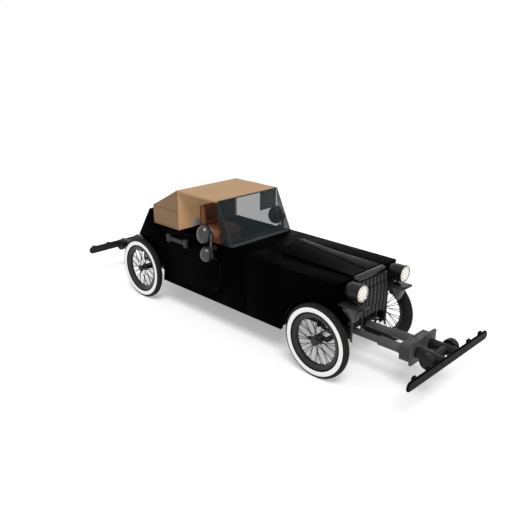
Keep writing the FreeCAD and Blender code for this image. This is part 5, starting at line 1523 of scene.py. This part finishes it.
def loop_points(low, high, radius, count=12):
    """A rounded rectangle in two coordinates, as (a, b) pairs."""
    points = []
    corners = ((high[0] - radius, high[1] - radius, 0), (low[0] + radius, high[1] - radius, 90),
               (low[0] + radius, low[1] + radius, 180), (high[0] - radius, low[1] + radius, 270))
    for a, b, start in corners:
        for step in range(count + 1):
            angle = math.radians(start + 90 * step / count)
            points.append((a + radius * math.cos(angle), b + radius * math.sin(angle)))
    dense = []
    for here, there in zip(points, points[1:] + points[:1]):
        gap = math.hypot(there[0] - here[0], there[1] - here[1])
        parts = max(1, int(gap / 0.012))
        for part in range(parts):
            share = part / parts
            dense.append((here[0] + (there[0] - here[0]) * share, here[1] + (there[1] - here[1]) * share))
    return dense


def loop_on(piece, low, high, radius, y=None, z=None, lift=0.0005):
    """A rounded rectangle laid on the piece's surface from a level z, or from an upright plane y."""
    tree = BVHTree.FromObject(piece, bpy.context.evaluated_depsgraph_get())
    made = []
    for a, b in loop_points(low, high, radius):
        place, normal, index, distance = tree.find_nearest(Vector((a, b, z) if y is None else (a, y, b)))
        made.append(place + normal * lift)
    return made


def seat_pieces():
    """Cushion and back in stuffed leather, with piping, stitches and a sunken panel."""
    cap = sizes().cushion_swell
    inset = 0.012
    x0, x1 = -0.285, 0.100
    outline = [(0.262, 0.886), (0.634, 0.886), (0.628, 1.108), (0.500, 1.114), (0.335, 1.118), (0.275, 1.103),
               (0.245, 1.058)]
    bm = padded_start(outline, x0, x1, inset)
    cushion = mesh_object("seat_cushion_leather", bm, [leather_material()])
    even_mesh(cushion, 0.008)
    swell(cushion, lambda co: co.z < 0.905 or co.y > 0.612, cap)
    level(cushion)
    for vert in cushion.data.vertices:
        vert.co.z = max(vert.co.z, 0.8855)
        vert.co.y = min(vert.co.y, 0.6345)
    settle(cushion, "chassis", "leather", ("seat_cushion",), 60)
    low, high = Vector((x0, 0.555, 1.119)), Vector((x1, 0.635, 1.382))
    bm = bmesh.new()
    slab(bm, (low.x + inset, low.y + 0.010, low.z + 0.002), (high.x - inset, high.y - 0.002, high.z - inset),
         0.022, 3)
    # Painted shade: the sunken panel takes much darker leather for the shade in its hollow.
    sunken = leather_material("Sunken panel leather", 0.42)
    border = mesh_object("seat_back_leather", bm, [leather_material(), sunken])
    even_mesh(border, 0.007)
    inner_low, inner_high = (x0 + 0.066, 1.155), (x1 - 0.066, 1.318)

    def outside(co):
        """Distance outside the sunken panel's rounded outline."""
        a = max(inner_low[0] - co.x, co.x - inner_high[0])
        b = max(inner_low[1] - co.z, co.z - inner_high[1])
        return max(a, b) if max(a, b) < 0 else math.hypot(max(a, 0), max(b, 0))

    for vert in border.data.vertices:
        if vert.co.y < 0.60:
            away = outside(vert.co)
            share = min(1.0, max(0.0, (0.014 - away) / 0.024))
            vert.co.y += 0.030 * share * share * (3 - 2 * share)
    swell(border, lambda co: co.y > 0.622 or abs(outside(co)) < 0.007, cap * 0.8)
    level(border)
    for vert in border.data.vertices:
        vert.co.y = min(max(vert.co.y, 0.5495), 0.6335)
        vert.co.z = max(vert.co.z, 1.1195)
    for face in border.data.polygons:
        middle = face.center
        if middle.y < 0.615 and outside(middle) < -0.004:
            face.material_index = 1
    settle(border, "chassis", "leather", ("seat_back",), 60)
    bm = bmesh.new()
    for loop, radius in (
            (loop_on(cushion, (x0 + 0.020, 0.290), (x1 - 0.020, 0.612), 0.03, z=1.14), 0.0042),
            (loop_on(cushion, (x0 + 0.004, 0.262), (x1 - 0.004, 0.628), 0.02, z=0.915), 0.0042),
            (loop_on(border, (x0 + 0.024, 1.140), (x1 - 0.024, 1.356), 0.03, y=0.54), 0.004),
            (loop_on(border, inner_low, inner_high, 0.02, y=0.57), 0.0034)):
        tube(bm, loop, radius, 8, closed=True)
    fit("seat_piping", bm, leather_material("Piping leather", 0.7), "chassis", "leather", (), 60)
    rows = [loop_on(cushion, (x0 + 0.034, 0.305), (x1 - 0.034, 0.598), 0.03, z=1.14, lift=0.0006),
            loop_on(border, (x0 + 0.052, 1.143), (x1 - 0.052, 1.330), 0.025, y=0.54, lift=0.0006)]
    stitches("seat_stitches", [row + row[:1] for row in rows], "chassis", "leather", 0.0009)
    bm = bmesh.new()
    slab(bm, (x0 + 0.018, 0.6355, 0.90), (x1 - 0.018, 0.6488, 1.352), 0.004)
    fit("seat_back_board", bm, leather_material("Seat board leather", 0.5), "chassis", "leather")


# Steering

def steering_piece():
    """Rim with finger grips, four spokes, boss and shaft."""
    tilt = math.radians(25)
    centre = Vector((-0.130, 0.120, 0.975))
    axis, first, second = basis((0, math.cos(tilt), math.sin(tilt)))
    bm = bmesh.new()
    steps, around = 120, 14
    rings = []
    for step in range(steps):
        angle = 2 * math.pi * step / steps
        out = first * math.cos(angle) + second * math.sin(angle)
        thick = 0.0098 + 0.0006 * math.cos(20 * angle)
        ring = []
        for k in range(around):
            turn_angle = 2 * math.pi * k / around
            ring.append(bm.verts.new(centre + out * (0.165 + thick * math.cos(turn_angle))
                                     + axis * thick * math.sin(turn_angle)))
        rings.append(ring)
    skin(bm, rings + rings[:1])
    turn(bm, [(-0.0257, 0.0), (-0.0257, 0.024), (-0.022, 0.028), (-0.002, 0.028), (0.003, 0.024),
              (0.006, 0.014), (0.007, 0.0)], centre, axis, 40)
    turn(bm, [(-0.090, 0.0), (-0.090, 0.008), (-0.024, 0.008), (-0.024, 0.0)], centre, axis, 24)
    for index in range(4):
        angle = math.pi * (0.25 + 0.5 * index)
        out = first * math.cos(angle) + second * math.sin(angle)
        points = []
        for k in range(9):
            share = k / 8
            points.append(centre + out * (0.018 + 0.142 * share) - axis * (0.009 * (1 - share) ** 2))
        tube(bm, points, 0.0052, 10)
    hard = rubber_material("Hard black rubber", (0.012, 0.012, 0.012), 0.02)
    fit("steering_wheel_rim", bm, hard, "steering_wheel", "wheel_black", ("steering_wheel",), 40)


# Bumpers

def blade(bm, sign, reach, middle):
    """A tall blade with rounded ends, a broad bevel all round and its lugs with their nuts."""
    tall = 0.0515
    outline = []
    for index in range(17):
        angle = math.pi * (index / 16 - 0.5)
        outline.append((reach - tall + tall * math.cos(angle), middle + tall * math.sin(angle)))
    outline += [(-x, z) for x, z in outline[::-1]]
    made = bmesh.new()
    face = made.faces.new([made.verts.new((x, BLADE_Y * sign, z)) for x, z in outline])
    pushed = bmesh.ops.extrude_face_region(made, geom=[face])
    moved = [item for item in pushed["geom"] if isinstance(item, bmesh.types.BMVert)]
    bmesh.ops.translate(made, verts=moved, vec=(0, -0.018 * sign, 0))
    rim = [edge for edge in made.edges
           if abs(edge.verts[0].co.y - edge.verts[1].co.y) < 1e-6 and abs(edge.verts[0].co.y) > 2.67]
    bmesh.ops.bevel(made, geom=rim, offset=0.011, segments=2, affect="EDGES")
    spare = bpy.data.meshes.new("spare")
    made.to_mesh(spare)
    made.free()
    bm.from_mesh(spare)
    bpy.data.meshes.remove(spare)
    for lug in (-0.622, -0.380, 0.380, 0.622):
        near, far = sorted((2.661 * sign, 2.635 * sign))
        slab(bm, (lug - 0.028, near, middle), (lug + 0.028, far, middle + 0.0635), 0.005)
        slab(bm, (lug - 0.018, near + 0.005, middle + 0.060), (lug + 0.018, far - 0.004, middle + 0.069), 0.003)


def bumper_pieces():
    """Blades with bevelled edges, drums, collars, telescopic tubes and finned blocks."""
    bm = bmesh.new()
    for x in STRUT_X:
        for start, end, radius in ((-1.628, -1.962, 0.036), (-1.955, -2.2397, 0.050),
                                   (1.818, 2.130, 0.036), (2.120, 2.3817, 0.050)):
            lip = 0.003 * (1 if end > start else -1)
            profile = [(0.0, 0.0), (0.0, radius - 0.003), (lip, radius), (end - start - lip, radius),
                       (end - start, radius - 0.003), (end - start, 0.0)]
            turn(bm, profile, (x, start, STRUT_Z), (0, 1, 0), 48)
        for y in (-1.972, -2.20, 2.140):
            turn(bm, [(-0.008, 0.049), (-0.006, 0.0525), (0.006, 0.0525), (0.008, 0.049)],
                 (x, y, STRUT_Z), (0, 1, 0), 48, closed=True)
    fit("strut_tubes", bm, "strut", "chassis", "strut_grey", ("bumper_struts",), 32)
    dress("damper_blocks", "chassis", "strut_grey", "block", 0.002)
    places = [((x, -2.3821, z), (0, -1, 0)) for x in (-0.211, -0.014, 0.014, 0.211) for z in (0.332, 0.552)]
    bolt_heads("damper_bolts", places, "chassis", "strut_grey", 0.0055)
    dark = bmesh.new()
    for end, sign, reach, drop, coat in (("front", -1, 0.755, 0.0, "blade"),
                                         ("rear", 1, 0.690, 0.045, "rear_blade")):
        bm = bmesh.new()
        blade(bm, sign, reach, 0.4255 - drop)
        fit("bumper_blade_" + end, bm, coat, "chassis", "bumper_black",
               ("bumpers",) if end == "front" else (), 32)
        z = 0.440 - drop
        for x in STRUT_X:
            start, end = 2.659 * sign, 2.382 * sign
            step = -0.004 * sign
            turn(dark, [(0.0, 0.0), (0.0, 0.052), (step, 0.056), (end - start - step, 0.056),
                        (end - start, 0.052), (end - start, 0.0)], (x, start, z), (0, 1, 0), 48)
        for side in (-1, 1):
            turn(dark, [(0.186, 0.0), (0.186, 0.072), (0.192, 0.078), (0.244, 0.078), (0.250, 0.072),
                        (0.2505, 0.046), (0.247, 0.042), (0.247, 0.0)],
                 (0, DRUM_Y * sign, z), (side, 0, 0), 56)
        turn(dark, [(-0.188, 0.0), (-0.188, 0.048), (0.188, 0.048), (0.188, 0.0)],
             (0, DRUM_Y * sign, z), (1, 0, 0), 56)
    fit("bumper_drums", dark, "drum", "chassis", "bumper_black", (), 32)


# Stage

def seen_directly(tree):
    """One for rays from the camera, through glass or off a gloss, zero for the light itself."""
    path = add_node(tree, "ShaderNodeLightPath").outputs
    seen = calculate(tree, "MAXIMUM", path["Is Camera Ray"], path["Is Transmission Ray"])
    return calculate(tree, "MAXIMUM", seen, path["Is Glossy Ray"])


def stage_pieces():
    """Pale floor, soft light, white backdrop and the camera."""
    scene = bpy.context.scene
    scene.view_settings.view_transform = "Standard"
    mesh = bpy.data.meshes.new("studio_floor")
    reach = 60.0
    mesh.from_pydata([(-reach, -reach, 0), (reach, -reach, 0), (reach, reach, 0), (-reach, reach, 0)], [],
                     [(0, 1, 2, 3)])
    floor = bpy.data.objects.new("studio_floor", mesh)
    scene.collection.objects.link(floor)
    made, tree, shader = start_material("Pale floor")
    shader.inputs["Base Color"].default_value = solid(colours().floor)
    shader.inputs["Roughness"].default_value = 0.9
    shader.inputs["Specular IOR Level"].default_value = 0.0
    plain = add_node(tree, "ShaderNodeEmission", {"Strength": 0.0}).outputs[0]
    glow = add_node(tree, "ShaderNodeEmission", {"Strength": 0.32}).outputs[0]
    choice = add_node(tree, "ShaderNodeMixShader", {0: seen_directly(tree), 1: plain, 2: glow})
    total = add_node(tree, "ShaderNodeAddShader", {0: shader.outputs[0], 1: choice.outputs[0]})
    feed(tree, tree.nodes["Material Output"].inputs["Surface"], total.outputs[0])
    mesh.materials.append(made)
    world = bpy.data.worlds.new("Pale studio")
    scene.world = world
    world.use_nodes = True
    tree = world.node_tree
    back = tree.nodes["Background"]
    back.inputs["Color"].default_value = (1, 1, 1, 1)
    feed(tree, back.inputs["Strength"], remap(tree, seen_directly(tree), 0.0, 1.0, 0.55, 1.0))
    lamp = bpy.data.lights.new("Soft key", "SUN")
    lamp.energy = 1.7
    lamp.angle = math.radians(25)
    key = bpy.data.objects.new("Soft key", lamp)
    key.rotation_euler = Vector((-0.45, -0.50, 1.0)).to_track_quat("Z", "Y").to_euler()
    scene.collection.objects.link(key)
    camera = bpy.data.cameras.new("Camera")
    camera.sensor_width = 36.0
    camera.lens = 43.456
    camera.clip_end = 200.0
    eye = bpy.data.objects.new("Camera", camera)
    eye.location = (-4.9757, -5.0381, 3.2982)
    eye.rotation_euler = Vector((2, 2, -1)).to_track_quat("-Z", "Y").to_euler()
    scene.collection.objects.link(eye)
    scene.camera = eye


# Operators, panel and registration

class TOURING_OT_wheels(bpy.types.Operator):
    """Make the four tyres and wire wheels"""

    bl_idname = "touring.wheels"
    bl_label = "Wheels"

    def execute(self, context):
        for end, y in ENDS:
            for side, sign in SIDES:
                tyre_piece(end, y, side, sign)
                wheel_piece(end, y, side, sign)
        return {"FINISHED"}


class TOURING_OT_chassis(bpy.types.Operator):
    """Dress the frame, axles, springs, steering arms, engine and exhaust"""

    bl_idname = "touring.chassis"
    bl_label = "Chassis"

    def execute(self, context):
        dress_chassis()
        return {"FINISHED"}


class TOURING_OT_body(bpy.types.Operator):
    """Dress the body panels and the cabin trim"""

    bl_idname = "touring.body"
    bl_label = "Body"

    def execute(self, context):
        dress_body()
        return {"FINISHED"}


class TOURING_OT_hood(bpy.types.Operator):
    """Make both halves of the hood"""

    bl_idname = "touring.hood"
    bl_label = "Hood"

    def execute(self, context):
        for side, sign in SIDES:
            hood_piece(side, sign)
        return {"FINISHED"}


class TOURING_OT_doors(bpy.types.Operator):
    """Dress the doors with their pulls and mirrors"""

    bl_idname = "touring.doors"
    bl_label = "Doors"

    def execute(self, context):
        dress_doors()
        return {"FINISHED"}


class TOURING_OT_front(bpy.types.Operator):
    """Make the grille, the headlamps and their brackets"""

    bl_idname = "touring.front"
    bl_label = "Grille and lamps"

    def execute(self, context):
        grille_piece()
        lamp_pieces()
        bracket_pieces()
        return {"FINISHED"}


class TOURING_OT_glass(bpy.types.Operator):
    """Dress the windscreen, the rear pane and the visors"""

    bl_idname = "touring.glass"
    bl_label = "Glass"

    def execute(self, context):
        glass_pieces()
        return {"FINISHED"}


class TOURING_OT_canvas(bpy.types.Operator):
    """Make the canvas top with its seams and bows"""

    bl_idname = "touring.canvas"
    bl_label = "Canvas top"

    def execute(self, context):
        canopy, canopy_area, length = canopy_piece()
        wall, wall_area = wall_piece()
        extras = canvas_seams()
        top_irons()
        return {"FINISHED"}


class TOURING_OT_seat(bpy.types.Operator):
    """Make the stuffed leather seat"""

    bl_idname = "touring.seat"
    bl_label = "Seat"

    def execute(self, context):
        seat_pieces()
        return {"FINISHED"}


class TOURING_OT_steering(bpy.types.Operator):
    """Make the steering wheel"""

    bl_idname = "touring.steering"
    bl_label = "Steering wheel"

    def execute(self, context):
        steering_piece()
        return {"FINISHED"}


class TOURING_OT_bumpers(bpy.types.Operator):
    """Make the bumpers, their tubes and blocks"""

    bl_idname = "touring.bumpers"
    bl_label = "Bumpers"

    def execute(self, context):
        bumper_pieces()
        return {"FINISHED"}


class TOURING_OT_stage(bpy.types.Operator):
    """Make the floor, the light and the camera"""

    bl_idname = "touring.stage"
    bl_label = "Stage"

    def execute(self, context):
        stage_pieces()
        return {"FINISHED"}


OPERATORS = (TOURING_OT_stage, TOURING_OT_wheels, TOURING_OT_chassis, TOURING_OT_body, TOURING_OT_hood,
             TOURING_OT_doors, TOURING_OT_front, TOURING_OT_glass, TOURING_OT_canvas, TOURING_OT_seat,
             TOURING_OT_steering, TOURING_OT_bumpers)


class TOURING_PT_panel(bpy.types.Panel):
    """Sizes, colours and pieces of the touring car"""

    bl_idname = "TOURING_PT_panel"
    bl_label = "Touring car"
    bl_space_type = "VIEW_3D"
    bl_region_type = "UI"
    bl_category = "Touring car"

    def draw(self, context):
        layout = self.layout
        for holder in (context.scene.touring_sizes, context.scene.touring_colours):
            box = layout.box()
            for name in holder.__annotations__:
                box.prop(holder, name)
        for operator in OPERATORS:
            layout.operator(operator.bl_idname)


CLASSES = (TouringSizes, TouringColours) + OPERATORS + (TOURING_PT_panel,)


def register():
    for item in CLASSES:
        bpy.utils.register_class(item)
    bpy.types.Scene.touring_sizes = bpy.props.PointerProperty(type=TouringSizes)
    bpy.types.Scene.touring_colours = bpy.props.PointerProperty(type=TouringColours)


def unregister():
    del bpy.types.Scene.touring_colours
    del bpy.types.Scene.touring_sizes
    for item in reversed(CLASSES):
        bpy.utils.unregister_class(item)


def main():
    register()
    for operator in OPERATORS:
        group, name = operator.bl_idname.split(".")
        getattr(getattr(bpy.ops, group), name)()


if __name__ == "__main__":
    main()
